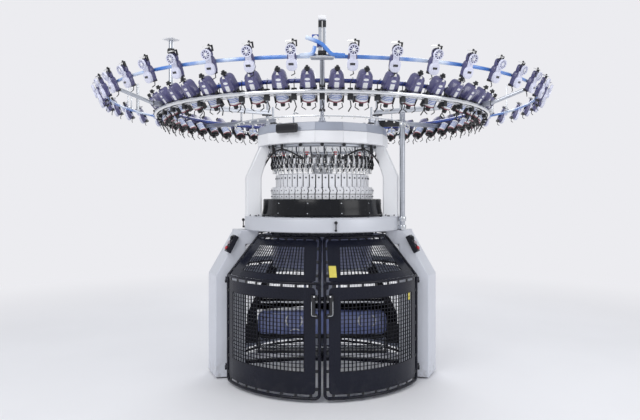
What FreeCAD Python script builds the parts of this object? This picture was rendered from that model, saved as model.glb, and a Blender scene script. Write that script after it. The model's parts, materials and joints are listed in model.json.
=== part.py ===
import FreeCAD, Part
import math
import os

# Circular knitting machine. Millimetres, +Z up, origin on the floor at the centre of the base.
# The front is towards -Y. An azimuth is counted in degrees from the front, positive to the right.

SIZES = {
    # floor to bed
    "pad_height": 12,
    "pad_length": 200,
    "pad_width": 190,
    "leg_azimuth": 78.8,
    "leg_width": 246,
    "leg_inner": 670,
    "leg_outer": 941,
    "leg_top_outer": 741,
    "leg_skew": 13.3,
    "leg_knee": 843,
    "leg_shoulder": 1200,
    "leg_head_inner": 560,
    "leg_head_bottom": 1100,
    "base_bottom": 84,
    "base_bar_width": 50,
    "base_bar_height": 27,
    "base_hub_radius": 90,
    "pivot_radius": 22,
    "bed_bottom": 1216.5,
    "bed_height": 113.5,
    "bed_radius": 668,
    "bed_bore": 402,
    # knitting head
    "skirt_height": 144,
    "skirt_radius": 530,
    "skirt_top_radius": 475,
    "skirt_bore": 388,
    "cam_bore": 385,
    "cam_radius": 442.5,
    "cam_height": 87,
    "cam_cap_radius": 402,
    "cam_cap_height": 113,
    "cam_gap_angle": 0.3,
    "upright_inner": 535,
    "upright_outer": 660,
    "upright_width": 200,
    "upright_knee": 1660,
    "upright_top_inner": 455,
    "upright_top_outer": 545,
    "crown_bottom": 1914,
    "crown_band": 93,
    "crown_height": 162,
    "crown_radius": 566,
    "crown_top_radius": 550,
    "crown_bore": 420,
    "crown_turn": -5.6,
    "carrier_top_radius": 445,
    "carrier_foot_radius": 405,
    "carrier_foot": 1700,
    "carrier_half_width": 4,
    # feeder rings
    "post_radius": 15,
    "post_circle": 520,
    "arm_width": 36,
    "arm_height": 36,
    "arm_inner": 498,
    "arm_overhang": 60,
    "inner_ring_radius": 1390,
    "inner_ring_bottom": 2141,
    "inner_ring_section": 28,
    "ring_spread": 370,
    "outer_ring_bottom": 2271,
    "outer_ring_section": 24,
    "clamp_width": 134,
    "clamp_height": 31,
    "clamp_thickness": 10,
    "clamp_gap": 0.8,
    "hanger_radius": 15,
    "storage_lean": 38,
    "storage_below": 95,
    "storage_above": 137,
    "storage_depth": 70,
    "storage_foot_width": 95,
    "storage_top_width": 50,
    "storage_clearance": 0.24,
    "roller_lean": 24,
    "roller_below": 55,
    "roller_above": 90,
    "roller_depth": 50,
    "roller_width": 58,
    "roller_pitch": 7.8,
    "wheel_radius": 28,
    "wheel_rise": 58,
    "wheel_thickness": 14,
    "hose_size": 22,
    "hose_rise": 9,
    "fit_gap": 0.3,
    # columns and small parts above the bed
    "mast_radius": 23,
    "mast_top": 3100,
    "mast_foot_height": 50,
    "mast_collar_radius": 36,
    "mast_collar_drop": 140,
    "mast_collar_height": 50,
    "mast_plate_width": 130,
    "mast_plate_height": 8,
    "mast_offset": 30,
    "tree_height": 172,
    "tree_spread": 24,
    "tree_bar": 20,
    "head_hose_radius": 11.5,
    "column_radius": 23,
    "column_circle": 704,
    "column_azimuth": 70.6,
    "column_top": 2310,
    "beam_height": 55,
    "beam_width": 30,
    "beam_inner": 470,
    "lamp_width": 195,
    "lamp_height": 75,
    "lamp_depth": 40,
    "lamp_bottom": 1990,
    # drive
    "gear_bottom": 1170,
    "gear_tip": 446,
    "gear_root": 431,
    "gear_bore": 350,
    "gear_teeth": 48,
    "pinion_tip": 60,
    "pinion_root": 45,
    "pinion_teeth": 6,
    "pinion_circle": 495,
    "pinion_hub": 30,
    "cylinder_radius": 380.5,
    "cylinder_top": 1660,
    "needle_circle": 372,
    "needle_rise": 24,
    "needle_count": 16,
    "motor_radius": 58,
    "motor_height": 205,
    "bracket_thickness": 10,
    "bracket_width": 160,
    # take-down
    "arm_head_inner": 350,
    "arm_head_width": 80,
    "arm_head_bottom": 945,
    "arm_depth": 90,
    "arm_foot_height": 77,
    "arm_beam_bottom": 550,
    "arm_beam_height": 57,
    "arm_beam_inset": 40,
    "casing_bottom": 322,
    "casing_top": 518,
    "casing_clearance": 20,
    "casing_depth": 260,
    "casing_corner": 35,
    "plate_thickness": 8,
    "plate_top": 403,
    "plate_shoulder": 238,
    "plate_depth": 160,
    "plate_leg_depth": 70,
    "plate_bottom": 140.3,
    "box_thickness": 100,
    "crossbar_height": 18,
    "crossbar_depth": 60,
    "draw_radius": 25,
    "draw_height": 292,
    "winding_radius": 18,
    "winding_height": 186,
    # gates
    "gate_radius": 850,
    "gate_start": 0.5,
    "gate_end": 63,
    "gate_bottom": 20,
    "gate_knee": 864,
    "gate_rim_radius": 585,
    "gate_rim_height": 1178,
    "gate_tube": 25,
    "gate_post_angle": 1.7,
    "gate_slot": 16,
    "gate_sheet": 4,
    "grid_bar": 12,
    "window_start": 8.9,
    "window_pitch": 5.1667,
    "window_low": 224,
    "window_high": 745,
    "hood_window_low": 936,
    "hood_window_high": 1186,
    "tab_angle": 1.2,
    "hinge_inset": 8.28,
    "hinge_aside": 190,
    "hinge_low": 98,
    "hinge_high": 800,
    "hinge_plate": 12,
    "hinge_width": 40,
    "knuckle_height": 34,
    "handle_bottom": 631,
    "handle_length": 152,
    "handle_reach": 47,
    "handle_grip": 27,
    "handle_foot": 17,
    "handle_thickness": 26,
    "guard_start": 86.5,
    "guard_end": 172.3,
    "guard_sheet": 6,
    "guard_border": 4,
    # controls
    "station_width": 70,
    "station_length": 150,
    "station_height": 40,
    "station_rise": 0.71,
    "station_shift": -45,
    "button_radius": 15,
    "button_height": 14,
    "button_travel": 4,
    "button_recess": 6,
    "button_pitch": 46,
    "lever_azimuth": 8.8,
    "lever_turn": 86,
    "lever_rise": 19.5,
    "lever_hub_radius": 12,
    "lever_hub_length": 20,
    "lever_length": 40,
    "lever_bar": 5,
    "lever_knob": 13,
}

FEEDERS = 48
ROLLER_SECTORS = (60, 180, -60)
ROLLERS_PER_SECTOR = 15
ARM_AZIMUTHS = (0, 60, 120, 180, 240, 300)
RING_SIDES = 96
HEAD_SIDES = 48
CROWN_SIDES = 16
WINDOW_CHORDS = 9
HOOD_WINDOW_CHORDS = 8
WINDOW_ROWS = 3
HOOD_WINDOW_ROWS = 1
GUARD_CHORDS = 5
SLIM_SIDES = 6
ROUND_SIDES = 8

doc = FreeCAD.newDocument("circular_knitting_machine")
sheet = doc.addObject("Spreadsheet::Sheet", "sizes")
for row, (alias, value) in enumerate(SIZES.items(), start=1):
    sheet.set(f"A{row}", alias)
    sheet.set(f"B{row}", str(value))
    sheet.setAlias(f"B{row}", alias)
doc.recompute()


class Sizes:
    """The sheet's values, read by alias."""

    def __getattr__(self, alias):
        return float(sheet.get(alias))


size = Sizes()
subparts = []
up = FreeCAD.Vector(0, 0, 1)
across = FreeCAD.Vector(1, 0, 0)


# ---------------------------------------------------------------- helpers

def keep(item, label):
    """Names a sub-part and lists it for export."""
    item.Label = label
    subparts.append(item)
    return item


def bind(item, **formulas):
    """Ties an object's properties to cells of the sheet."""
    for name, formula in formulas.items():
        item.setExpression(name, formula)
    return item


def turned(azimuth, radius=0.0, height=0.0):
    """Placement whose +X points outwards at an azimuth."""
    return FreeCAD.Placement(polar(azimuth, radius, height), FreeCAD.Rotation(up, azimuth - 90))


def polar(azimuth, radius, height):
    """Point at an azimuth and a radius."""
    angle = math.radians(azimuth)
    return FreeCAD.Vector(radius * math.sin(angle), -radius * math.cos(angle), height)


def loop(points):
    """Closed wire through points."""
    return Part.makePolygon(points + points[:1])


def facet_solid(rings, closed=False):
    """Solid of flat faces between point rings that follow each other."""
    faces = []
    following = rings[1:] + rings[:1] if closed else rings[1:]
    for near, far in zip(rings, following):
        for index, corner in enumerate(near):
            after = (index + 1) % len(near)
            faces.append(Part.Face(loop([corner, near[after], far[after], far[index]])))
    if not closed:
        faces.append(Part.Face(loop(rings[0])))
        faces.append(Part.Face(loop(rings[-1])))
    shell = Part.Shell(faces)
    shell.sewShape()
    return Part.Solid(shell)


def revolve_facets(profile, azimuths, closed=False):
    """Carries an (r, z) profile round the machine in flat chords."""
    rings = [[polar(azimuth, r, z) for r, z in profile] for azimuth in azimuths]
    return facet_solid(rings, closed)


def even_azimuths(sides, turn=0.0):
    """Corner azimuths of a regular polygon round the machine."""
    return [turn + 360 * corner / sides for corner in range(sides)]


def feature(label, shape, placement=None):
    """Sub-part whose shape comes from the functions above."""
    item = doc.addObject("Part::Feature", label)
    item.Shape = shape
    if placement is not None:
        item.Placement = placement
    return item


def group(label, items):
    """Sub-part of several like pieces."""
    item = doc.addObject("Part::Compound", label)
    item.Links = items
    return keep(item, label)


def solids(label, shapes):
    """Sub-part of many like solids."""
    return keep(feature(label, Part.makeCompound(shapes)), label)


def box(name, length, width, height, placement):
    """Box that is centred on its width, with sizes from the sheet."""
    item = doc.addObject("Part::Box", name)
    bind(item, Length=length, Width=width, Height=height)
    doc.recompute()
    centred = FreeCAD.Placement(FreeCAD.Vector(0, -item.Width.Value / 2, 0), FreeCAD.Rotation())
    item.Placement = placement.multiply(centred)
    return item


def prism(name, sides, radius, height, placement):
    """Upright bar of flat sides, with sizes from the sheet."""
    item = doc.addObject("Part::Prism", name)
    item.Polygon = sides
    bind(item, Circumradius=radius, Height=height)
    item.Placement = placement
    return item


def boolean(kind, name, base, tool):
    """Cut or common part of two objects."""
    item = doc.addObject(kind, name)
    item.Base = base
    item.Tool = tool
    return item


def fuse(name, items):
    """One solid of several."""
    item = doc.addObject("Part::MultiFuse", name)
    item.Shapes = items
    item.Refine = True
    return item


def mirror(name, source):
    """Left-right mirror image."""
    item = doc.addObject("Part::Mirroring", name)
    item.Source = source
    item.Normal = across
    return item


def padded(name, points, width, placement):
    """Body with an (x, z) outline padded to both sides of its own XZ plane."""
    body = doc.addObject("PartDesign::Body", name)
    sketch = body.newObject("Sketcher::SketchObject", name + "_outline")
    plane = next(f for f in body.Origin.OriginFeatures if f.Role == "XZ_Plane")
    sketch.AttachmentSupport = (plane, "")
    sketch.MapMode = "FlatFace"
    corners = [FreeCAD.Vector(x, z, 0) for x, z in points]
    for start, end in zip(corners, corners[1:] + corners[:1]):
        sketch.addGeometry(Part.LineSegment(start, end), False)
    pad = body.newObject("PartDesign::Pad", name + "_pad")
    pad.Profile = sketch
    pad.Midplane = True
    bind(pad, Length=width)
    body.Placement = placement
    return body


def mitred_tube(path, radius, sides, normal):
    """Tube of flat sides with mitred corners along a path in the plane of a normal."""
    rings = []
    for index, point in enumerate(path):
        runs = []
        if index > 0:
            runs.append((point - path[index - 1]).normalize())
        if index < len(path) - 1:
            runs.append((path[index + 1] - point).normalize())
        middle = sum(runs, FreeCAD.Vector()).normalize()
        stretch = 1 / middle.dot(runs[0])
        side = middle.cross(normal).multiply(stretch)
        ring = []
        for corner in range(sides):
            angle = 2 * math.pi * (corner + 0.5) / sides
            ring.append(point + normal * (radius * math.cos(angle)) + side * (radius * math.sin(angle)))
        rings.append(ring)
    return facet_solid(rings)


# ---------------------------------------------------------------- legs and base

def leg(name, azimuth, skew):
    """White casing of one leg, with a bevelled outer face and a head under the bed."""
    reach = size.leg_outer + size.leg_width
    inside = [
        (size.leg_inner, size.pad_height),
        (reach, size.pad_height),
        (reach, size.bed_bottom),
        (size.leg_head_inner, size.bed_bottom),
        (size.leg_head_inner, size.leg_head_bottom),
        (size.leg_inner, size.leg_head_bottom),
    ]
    shrink = math.cos(math.radians(skew))
    outside = [
        (0, size.pad_height),
        (size.leg_outer * shrink, size.pad_height),
        (size.leg_outer * shrink, size.leg_knee),
        (size.leg_top_outer * shrink, size.leg_shoulder),
        (size.leg_top_outer * shrink, size.bed_bottom),
        (0, size.bed_bottom),
    ]
    core = padded(name + "_core", inside, "sizes.leg_width", turned(azimuth))
    skin = padded(name + "_skin", outside, "sizes.leg_width * 3", turned(azimuth + skew))
    return boolean("Part::Common", name, core, skin)


def legs():
    left = keep(leg("leg_left", -size.leg_azimuth, size.leg_skew), "leg_left")
    keep(mirror("leg_right", left), "leg_right")
    keep(leg("leg_rear", 180, 0), "leg_rear")


def levelling_pads():
    middle = (size.leg_inner + size.leg_outer - size.pad_length) / 2
    pads = []
    for name, azimuth in (("left", -size.leg_azimuth), ("right", size.leg_azimuth), ("rear", 180)):
        seat = turned(azimuth, middle)
        pads.append(box("pad_" + name, "sizes.pad_length", "sizes.pad_width", "sizes.pad_height", seat))
    group("levelling_pads", pads)


def base_cross():
    """Three bars and a hub that tie the legs and hold the lower pivot."""
    pieces = []
    bar_length = "sizes.leg_inner - sizes.base_hub_radius / 2"
    for name, azimuth in (("left", -size.leg_azimuth), ("right", size.leg_azimuth), ("rear", 180)):
        seat = turned(azimuth, size.base_hub_radius / 2, size.base_bottom)
        pieces.append(box("base_bar_" + name, bar_length, "sizes.base_bar_width",
                          "sizes.base_bar_height", seat))
    middle = turned(0, 0, size.base_bottom)
    pieces.append(prism("base_hub", ROUND_SIDES, "sizes.base_hub_radius", "sizes.base_bar_height", middle))
    pin_height = "sizes.plate_bottom - sizes.fit_gap - sizes.base_bottom"
    pieces.append(prism("base_pin", ROUND_SIDES, "sizes.pivot_radius", pin_height, middle))
    keep(fuse("base_cross", pieces), "base_cross")


# ---------------------------------------------------------------- bed and knitting head

def bed_ring():
    disc = doc.addObject("Part::Cylinder", "bed_disc")
    bind(disc, Radius="sizes.bed_radius", Height="sizes.bed_height")
    disc.Placement = turned(0, 0, size.bed_bottom)
    bore = prism("bed_hole", 36, "sizes.bed_bore", "sizes.bed_height", turned(0, 0, size.bed_bottom))
    keep(boolean("Part::Cut", "bed_ring", disc, bore), "bed_ring")


def bed_top():
    return size.bed_bottom + size.bed_height


def uprights():
    outline = [
        (size.upright_inner, bed_top()),
        (size.upright_outer, bed_top()),
        (size.upright_outer, size.upright_knee),
        (size.upright_top_outer, size.crown_bottom),
        (size.upright_top_inner, size.crown_bottom),
        (size.upright_inner, size.upright_knee),
    ]
    for name, azimuth in (("left", -size.leg_azimuth), ("right", size.leg_azimuth), ("rear", 180)):
        label = "upright_" + name
        keep(padded(label, outline, "sizes.upright_width", turned(azimuth)), label)


def upper_ring():
    profile = [
        (size.crown_bore, size.crown_bottom),
        (size.crown_radius, size.crown_bottom),
        (size.crown_radius, size.crown_bottom + size.crown_band),
        (size.crown_top_radius, size.crown_bottom + size.crown_height),
        (size.crown_bore, size.crown_bottom + size.crown_height),
    ]
    shape = revolve_facets(profile, even_azimuths(CROWN_SIDES, size.crown_turn), closed=True)
    keep(feature("upper_ring", shape), "upper_ring")


def cylinder_skirt():
    low = bed_top()
    high = low + size.skirt_height
    profile = [
        (size.skirt_bore, low),
        (size.skirt_radius, low),
        (size.skirt_top_radius, high),
        (size.skirt_bore, high),
    ]
    shape = revolve_facets(profile, even_azimuths(HEAD_SIDES), closed=True)
    keep(feature("cylinder_skirt", shape), "cylinder_skirt")


def feeder_azimuths():
    pitch = 360 / FEEDERS
    return [pitch * (index + 0.5) for index in range(FEEDERS)]


def cam_segments():
    low = bed_top() + size.skirt_height
    step = low + size.cam_height
    high = step + size.cam_cap_height
    profile = [
        (size.cam_bore, low),
        (size.cam_radius, low),
        (size.cam_radius, step),
        (size.cam_cap_radius, step),
        (size.cam_cap_radius, high),
        (size.cam_bore, high),
    ]
    half = 180 / FEEDERS - size.cam_gap_angle / 2
    shapes = [revolve_facets(profile, (middle - half, middle + half)) for middle in feeder_azimuths()]
    solids("cam_segments", shapes)


def yarn_carriers():
    """Slim bars that lead the yarn down from the crown to the cams."""
    shapes = []
    half = size.carrier_half_width
    for azimuth in feeder_azimuths():
        outward = polar(azimuth, 1, 0)
        aside = polar(azimuth + 90, 1, 0)
        corners = (outward * half, outward * -half + aside * half, outward * -half - aside * half)
        foot = polar(azimuth, size.carrier_foot_radius, size.carrier_foot)
        head = polar(azimuth, size.carrier_top_radius, size.crown_bottom)
        shapes.append(facet_solid([[foot + c for c in corners], [head + c for c in corners]]))
    solids("yarn_carriers", shapes)


# ---------------------------------------------------------------- feeder rings

def arm_bottom():
    return size.inner_ring_bottom + size.inner_ring_section


def ring_posts():
    low = size.crown_bottom + size.crown_height
    height = "sizes.inner_ring_bottom + sizes.inner_ring_section - sizes.crown_bottom - sizes.crown_height"
    posts = []
    for azimuth in ARM_AZIMUTHS:
        seat = turned(azimuth, size.post_circle, low)
        posts.append(prism(f"post_{azimuth}", SLIM_SIDES, "sizes.post_radius", height, seat))
    group("ring_posts", posts)


def ring_arms():
    length = "sizes.inner_ring_radius + sizes.arm_overhang - sizes.arm_inner"
    arms = []
    for azimuth in ARM_AZIMUTHS:
        seat = turned(azimuth, size.arm_inner, arm_bottom())
        arms.append(box(f"arm_{azimuth}", length, "sizes.arm_width", "sizes.arm_height", seat))
    group("ring_arms", arms)


def feeder_ring(name, sides, turn, middle, section, bottom):
    """Ring bar of flat chords."""
    seat = FreeCAD.Placement(FreeCAD.Vector(0, 0, bottom), FreeCAD.Rotation(up, turn))
    corner = f"/ cos({180 / sides})"
    outer = prism(name + "_disc", sides, f"({middle} + {section} / 2) {corner}", section, seat)
    inner = prism(name + "_hole", sides, f"({middle} - {section} / 2) {corner}", section, seat)
    keep(boolean("Part::Cut", name, outer, inner), name)


def outer_radius():
    return size.inner_ring_radius + size.ring_spread


def feeder_rings():
    """Inner ring with a chord behind each storage unit, outer ring with a chord centred on each arm."""
    feeder_ring("inner_ring", FEEDERS, 0, "sizes.inner_ring_radius", "sizes.inner_ring_section",
                size.inner_ring_bottom)
    feeder_ring("outer_ring", RING_SIDES, 180 / RING_SIDES, "sizes.inner_ring_radius + sizes.ring_spread",
                "sizes.outer_ring_section", size.outer_ring_bottom)


def clamp_face():
    """Radius of the clamps' inner faces, where the hangers end."""
    inside = outer_radius() - size.outer_ring_section / 2
    return inside - size.clamp_gap - size.clamp_thickness


def ring_clamps():
    clamps = []
    low = size.outer_ring_bottom - (size.clamp_height - size.outer_ring_section) / 2
    for azimuth in ARM_AZIMUTHS:
        seat = turned(azimuth, clamp_face(), low)
        clamps.append(box(f"clamp_{azimuth}", "sizes.clamp_thickness", "sizes.clamp_width",
                          "sizes.clamp_height", seat))
    group("ring_clamps", clamps)


def ring_hangers():
    """Sloping bars from the arms' ends up to the clamps of the outer ring."""
    shapes = []
    low = arm_bottom() + size.arm_height / 2
    high = size.outer_ring_bottom + size.outer_ring_section / 2
    for azimuth in ARM_AZIMUTHS:
        aside = polar(azimuth + 90, 1, 0)
        rings = []
        for radius, height in ((size.inner_ring_radius + size.arm_overhang, low), (clamp_face(), high)):
            ring = []
            for corner in range(SLIM_SIDES):
                angle = 2 * math.pi * corner / SLIM_SIDES
                offset = aside * (size.hanger_radius * math.cos(angle))
                offset += up * (size.hanger_radius * math.sin(angle))
                ring.append(polar(azimuth, radius, height) + offset)
            rings.append(ring)
        shapes.append(facet_solid(rings))
    solids("ring_hangers", shapes)


class Lean:
    """Frame of a unit that leans outwards: rise runs up its face, depth runs inwards from it."""

    def __init__(self, radius, height, lean, azimuth):
        angle = math.radians(lean)
        self.rise = polar(azimuth, math.sin(angle), math.cos(angle))
        self.out = polar(azimuth, math.cos(angle), -math.sin(angle))
        self.aside = polar(azimuth + 90, 1, 0)
        self.origin = polar(azimuth, radius, height)

    def point(self, rise, aside, out):
        return self.origin + self.rise * rise + self.aside * aside + self.out * out

    def slice(self, rise, width, near, far):
        """Rectangle across the unit at a rise, from one depth to another."""
        half = width / 2
        corners = ((-half, near), (half, near), (half, far), (-half, far))
        return [self.point(rise, aside, out) for aside, out in corners]


def storage_frame(azimuth):
    edge = size.inner_ring_radius - size.inner_ring_section / 2 - size.storage_clearance
    return Lean(edge, arm_bottom(), size.storage_lean, azimuth)


def storage_feeders():
    """Yarn storage units: drum housing, tapering hood and knob in one."""
    shapes = []
    for azimuth in feeder_azimuths():
        unit = storage_frame(azimuth)
        shapes.append(facet_solid([
            unit.slice(-size.storage_below, size.storage_foot_width, 0, -size.storage_depth),
            unit.slice(size.storage_above, size.storage_top_width, 0, -size.storage_depth),
        ]))
    solids("storage_feeders", shapes)


def feeder_hose():
    """Air hose that lies all the way round against the backs of the storage units."""
    corners = []
    back = -size.storage_depth - size.fit_gap
    for rise, out in ((0, 0), (1, 0), (1, 1), (0, 1)):
        frame = storage_frame(0)
        point = frame.point(size.hose_rise + rise * size.hose_size, 0, back - out * size.hose_size)
        corners.append((-point.y / math.cos(math.pi / FEEDERS), point.z))
    shape = revolve_facets(corners, even_azimuths(FEEDERS), closed=True)
    keep(feature("feeder_hose", shape), "feeder_hose")


def roller_feeders():
    """Small roller units on the outer ring, in three sectors with a gap between them."""
    shapes = []
    corner_radius = (outer_radius() + size.outer_ring_section / 2) / math.cos(math.pi / RING_SIDES)
    for sector in ROLLER_SECTORS:
        for index in range(ROLLERS_PER_SECTOR):
            azimuth = sector + (index - (ROLLERS_PER_SECTOR - 1) / 2) * size.roller_pitch
            unit = Lean(corner_radius + size.fit_gap / 3, size.outer_ring_bottom, size.roller_lean, azimuth)
            shapes.append(facet_solid([
                unit.slice(-size.roller_below, size.roller_width, 0, size.roller_depth),
                unit.slice(size.roller_above, size.roller_width, 0, size.roller_depth),
            ]))
            rings = []
            for out in (size.roller_depth, size.roller_depth + size.wheel_thickness):
                ring = []
                for corner in range(SLIM_SIDES):
                    angle = 2 * math.pi * corner / SLIM_SIDES
                    rise = size.wheel_rise + size.wheel_radius * math.cos(angle)
                    ring.append(unit.point(rise, size.wheel_radius * math.sin(angle), out))
                rings.append(ring)
            shapes.append(facet_solid(rings))
    solids("roller_feeders", shapes)


# ---------------------------------------------------------------- masts, column, lamp

def head_mast():
    """Twin bars with a cap that stand on the outer ring at the front."""
    top = size.outer_ring_bottom + size.outer_ring_section
    pieces = []
    foot = turned(0, outer_radius() - size.outer_ring_section / 2, top)
    pieces.append(box("head_foot", "sizes.outer_ring_section", "sizes.tree_spread * 2",
                      "sizes.tree_bar", foot))
    for side in (-1, 1):
        bar_seat = turned(0, outer_radius() - size.tree_bar / 2, top + size.tree_bar)
        shift = FreeCAD.Placement(FreeCAD.Vector(0, side * size.tree_spread / 2, 0), FreeCAD.Rotation())
        pieces.append(box(f"head_bar_{side + 1}", "sizes.tree_bar", "sizes.tree_bar",
                          "sizes.tree_height", bar_seat.multiply(shift)))
    cap = turned(0, outer_radius() - size.tree_bar, top + size.tree_bar + size.tree_height)
    pieces.append(box("head_cap", "sizes.tree_bar * 2", "sizes.tree_spread * 2", "sizes.tree_spread", cap))
    keep(fuse("head_mast", pieces), "head_mast")


def head_hoses():
    """Two hose ends that rise from the front of the outer ring to the twin bars."""
    radius = size.head_hose_radius
    front = outer_radius() + size.outer_ring_section / 2 + size.fit_gap
    front += radius * math.cos(math.pi / SLIM_SIDES)
    ring_middle = size.outer_ring_bottom + size.outer_ring_section / 2
    routes = (
        ((128, 0), (50, 10), (0, 62), (-93, 102)),
        ((-125, 0), (-54, 10), (-40, 52)),
    )
    shapes = []
    for route in routes:
        path = [FreeCAD.Vector(x, -front, ring_middle + rise) for x, rise in route]
        shapes.append(mitred_tube(path, radius, SLIM_SIDES, FreeCAD.Vector(0, 1, 0)))
    solids("head_hoses", shapes)


def rear_mast():
    """Tall tube on the outer ring at the left rear, with a collar and a flat top plate."""
    azimuth = -120
    ring_top = size.outer_ring_bottom + size.outer_ring_section
    foot = turned(azimuth, outer_radius() - size.outer_ring_section / 2, ring_top)
    pieces = [box("mast_foot", "sizes.outer_ring_section + sizes.mast_radius * 2", "sizes.mast_radius * 3",
                  "sizes.mast_foot_height", foot)]
    circle = outer_radius() + size.mast_offset
    standing = turned(azimuth, circle, ring_top + size.mast_foot_height)
    height = ("sizes.mast_top - sizes.outer_ring_bottom - sizes.outer_ring_section"
              " - sizes.mast_foot_height")
    pieces.append(prism("mast_tube", ROUND_SIDES, "sizes.mast_radius", height, standing))
    pieces.append(prism("mast_collar", ROUND_SIDES, "sizes.mast_collar_radius", "sizes.mast_collar_height",
                        turned(azimuth, circle, size.mast_top - size.mast_collar_drop)))
    plate = turned(azimuth, circle - size.mast_plate_width / 2, size.mast_top)
    pieces.append(box("mast_plate", "sizes.mast_plate_width", "sizes.mast_plate_width",
                      "sizes.mast_plate_height", plate))
    keep(fuse("rear_mast", pieces), "rear_mast")


def side_column():
    """Round column beside the right leg, and the beam that ties it to the crown."""
    half_side = FreeCAD.Placement(FreeCAD.Vector(), FreeCAD.Rotation(up, 180 / ROUND_SIDES))
    seat = turned(size.column_azimuth, size.column_circle, size.bed_bottom).multiply(half_side)
    column = prism("side_column", ROUND_SIDES, "sizes.column_radius",
                   "sizes.column_top - sizes.bed_bottom", seat)
    keep(column, "side_column")
    flat = f"sizes.column_radius * cos({180 / ROUND_SIDES})"
    beam = box("column_beam", f"sizes.column_circle - {flat} - sizes.beam_inner", "sizes.beam_width",
               "sizes.beam_height", turned(size.column_azimuth, size.beam_inner,
                                           size.crown_bottom + size.crown_height))
    keep(beam, "column_beam")


def lamp_box():
    band = size.crown_radius + size.fit_gap
    item = box("lamp_box", "sizes.lamp_depth", "sizes.lamp_width", "sizes.lamp_height",
               turned(size.crown_turn - 360 / CROWN_SIDES, band, size.lamp_bottom))
    keep(item, "lamp_box")


# ---------------------------------------------------------------- drive and needle cylinder

def toothed(teeth, tip, root, turn):
    """Outline of a wheel with straight-sided teeth."""
    points = []
    for corner in range(2 * teeth):
        radius = root if corner % 2 else tip
        points.append(polar(turn + 180 * corner / teeth, radius, 0))
    return Part.Face(loop(points))


def gear_height():
    return size.bed_bottom - size.fit_gap - size.gear_bottom


def ring_gear():
    teeth = int(size.gear_teeth)
    blank = toothed(teeth, size.gear_tip, size.gear_root, 180 + 180 / teeth)
    wheel = blank.extrude(up * gear_height())
    bore = Part.Face(loop([polar(a, size.gear_bore, 0) for a in even_azimuths(HEAD_SIDES // 2)]))
    shape = wheel.cut(bore.extrude(up * gear_height()))
    seat = FreeCAD.Placement(up * size.gear_bottom, FreeCAD.Rotation())
    keep(feature("ring_gear", shape, seat), "ring_gear")


def drive_pinion():
    blank = toothed(int(size.pinion_teeth), size.pinion_tip, size.pinion_root, 0)
    wheel = blank.extrude(up * gear_height())
    wheel.translate(polar(180, size.pinion_circle, size.gear_bottom))
    hub = Part.Face(loop([polar(a, size.pinion_hub, 0) for a in even_azimuths(ROUND_SIDES)]))
    hub_height = size.gear_bottom - bracket_top() - size.fit_gap
    hub = hub.extrude(up * hub_height)
    hub.translate(polar(180, size.pinion_circle, size.gear_bottom - hub_height))
    keep(feature("drive_pinion", wheel.fuse(hub)), "drive_pinion")


def bracket_top():
    return size.gear_bottom - size.bracket_thickness / 2


def drive_motor():
    low = bracket_top() - size.bracket_thickness - size.motor_height
    keep(prism("drive_motor", ROUND_SIDES, "sizes.motor_radius", "sizes.motor_height",
               turned(180, size.pinion_circle, low)), "drive_motor")
    bracket = box("motor_bracket", "sizes.leg_head_inner - sizes.pinion_circle + sizes.motor_radius",
                  "sizes.bracket_width", "sizes.bracket_thickness",
                  turned(180, size.pinion_circle - size.motor_radius,
                         bracket_top() - size.bracket_thickness))
    keep(bracket, "motor_bracket")


def needle_cylinder():
    low = size.bed_bottom - size.fit_gap
    profile = [
        (size.gear_bore, low),
        (size.cylinder_radius, low),
        (size.cylinder_radius, size.cylinder_top),
        (size.gear_bore, size.cylinder_top),
    ]
    shape = revolve_facets(profile, even_azimuths(HEAD_SIDES // 2), closed=True)
    keep(feature("needle_cylinder", shape), "needle_cylinder")


def needles():
    """Needle tops that stand on the rim of the cylinder."""
    shapes = []
    half = size.carrier_half_width
    for azimuth in even_azimuths(int(size.needle_count)):
        middle = polar(azimuth, size.needle_circle, size.cylinder_top)
        outward = polar(azimuth, half, 0)
        aside = polar(azimuth + 90, half, 0)
        foot = [middle + outward, middle - outward + aside, middle - outward - aside]
        shapes.append(facet_solid([foot, [corner + up * size.needle_rise for corner in foot]]))
    solids("needles", shapes)


# ---------------------------------------------------------------- take-down

CASING_LENGTH = "(sizes.leg_inner - sizes.casing_clearance - sizes.box_thickness) * 2"


def casing_end():
    """Half the casing's length: its end boxes turn clear of the legs."""
    return size.leg_inner - size.casing_clearance - size.box_thickness


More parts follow.
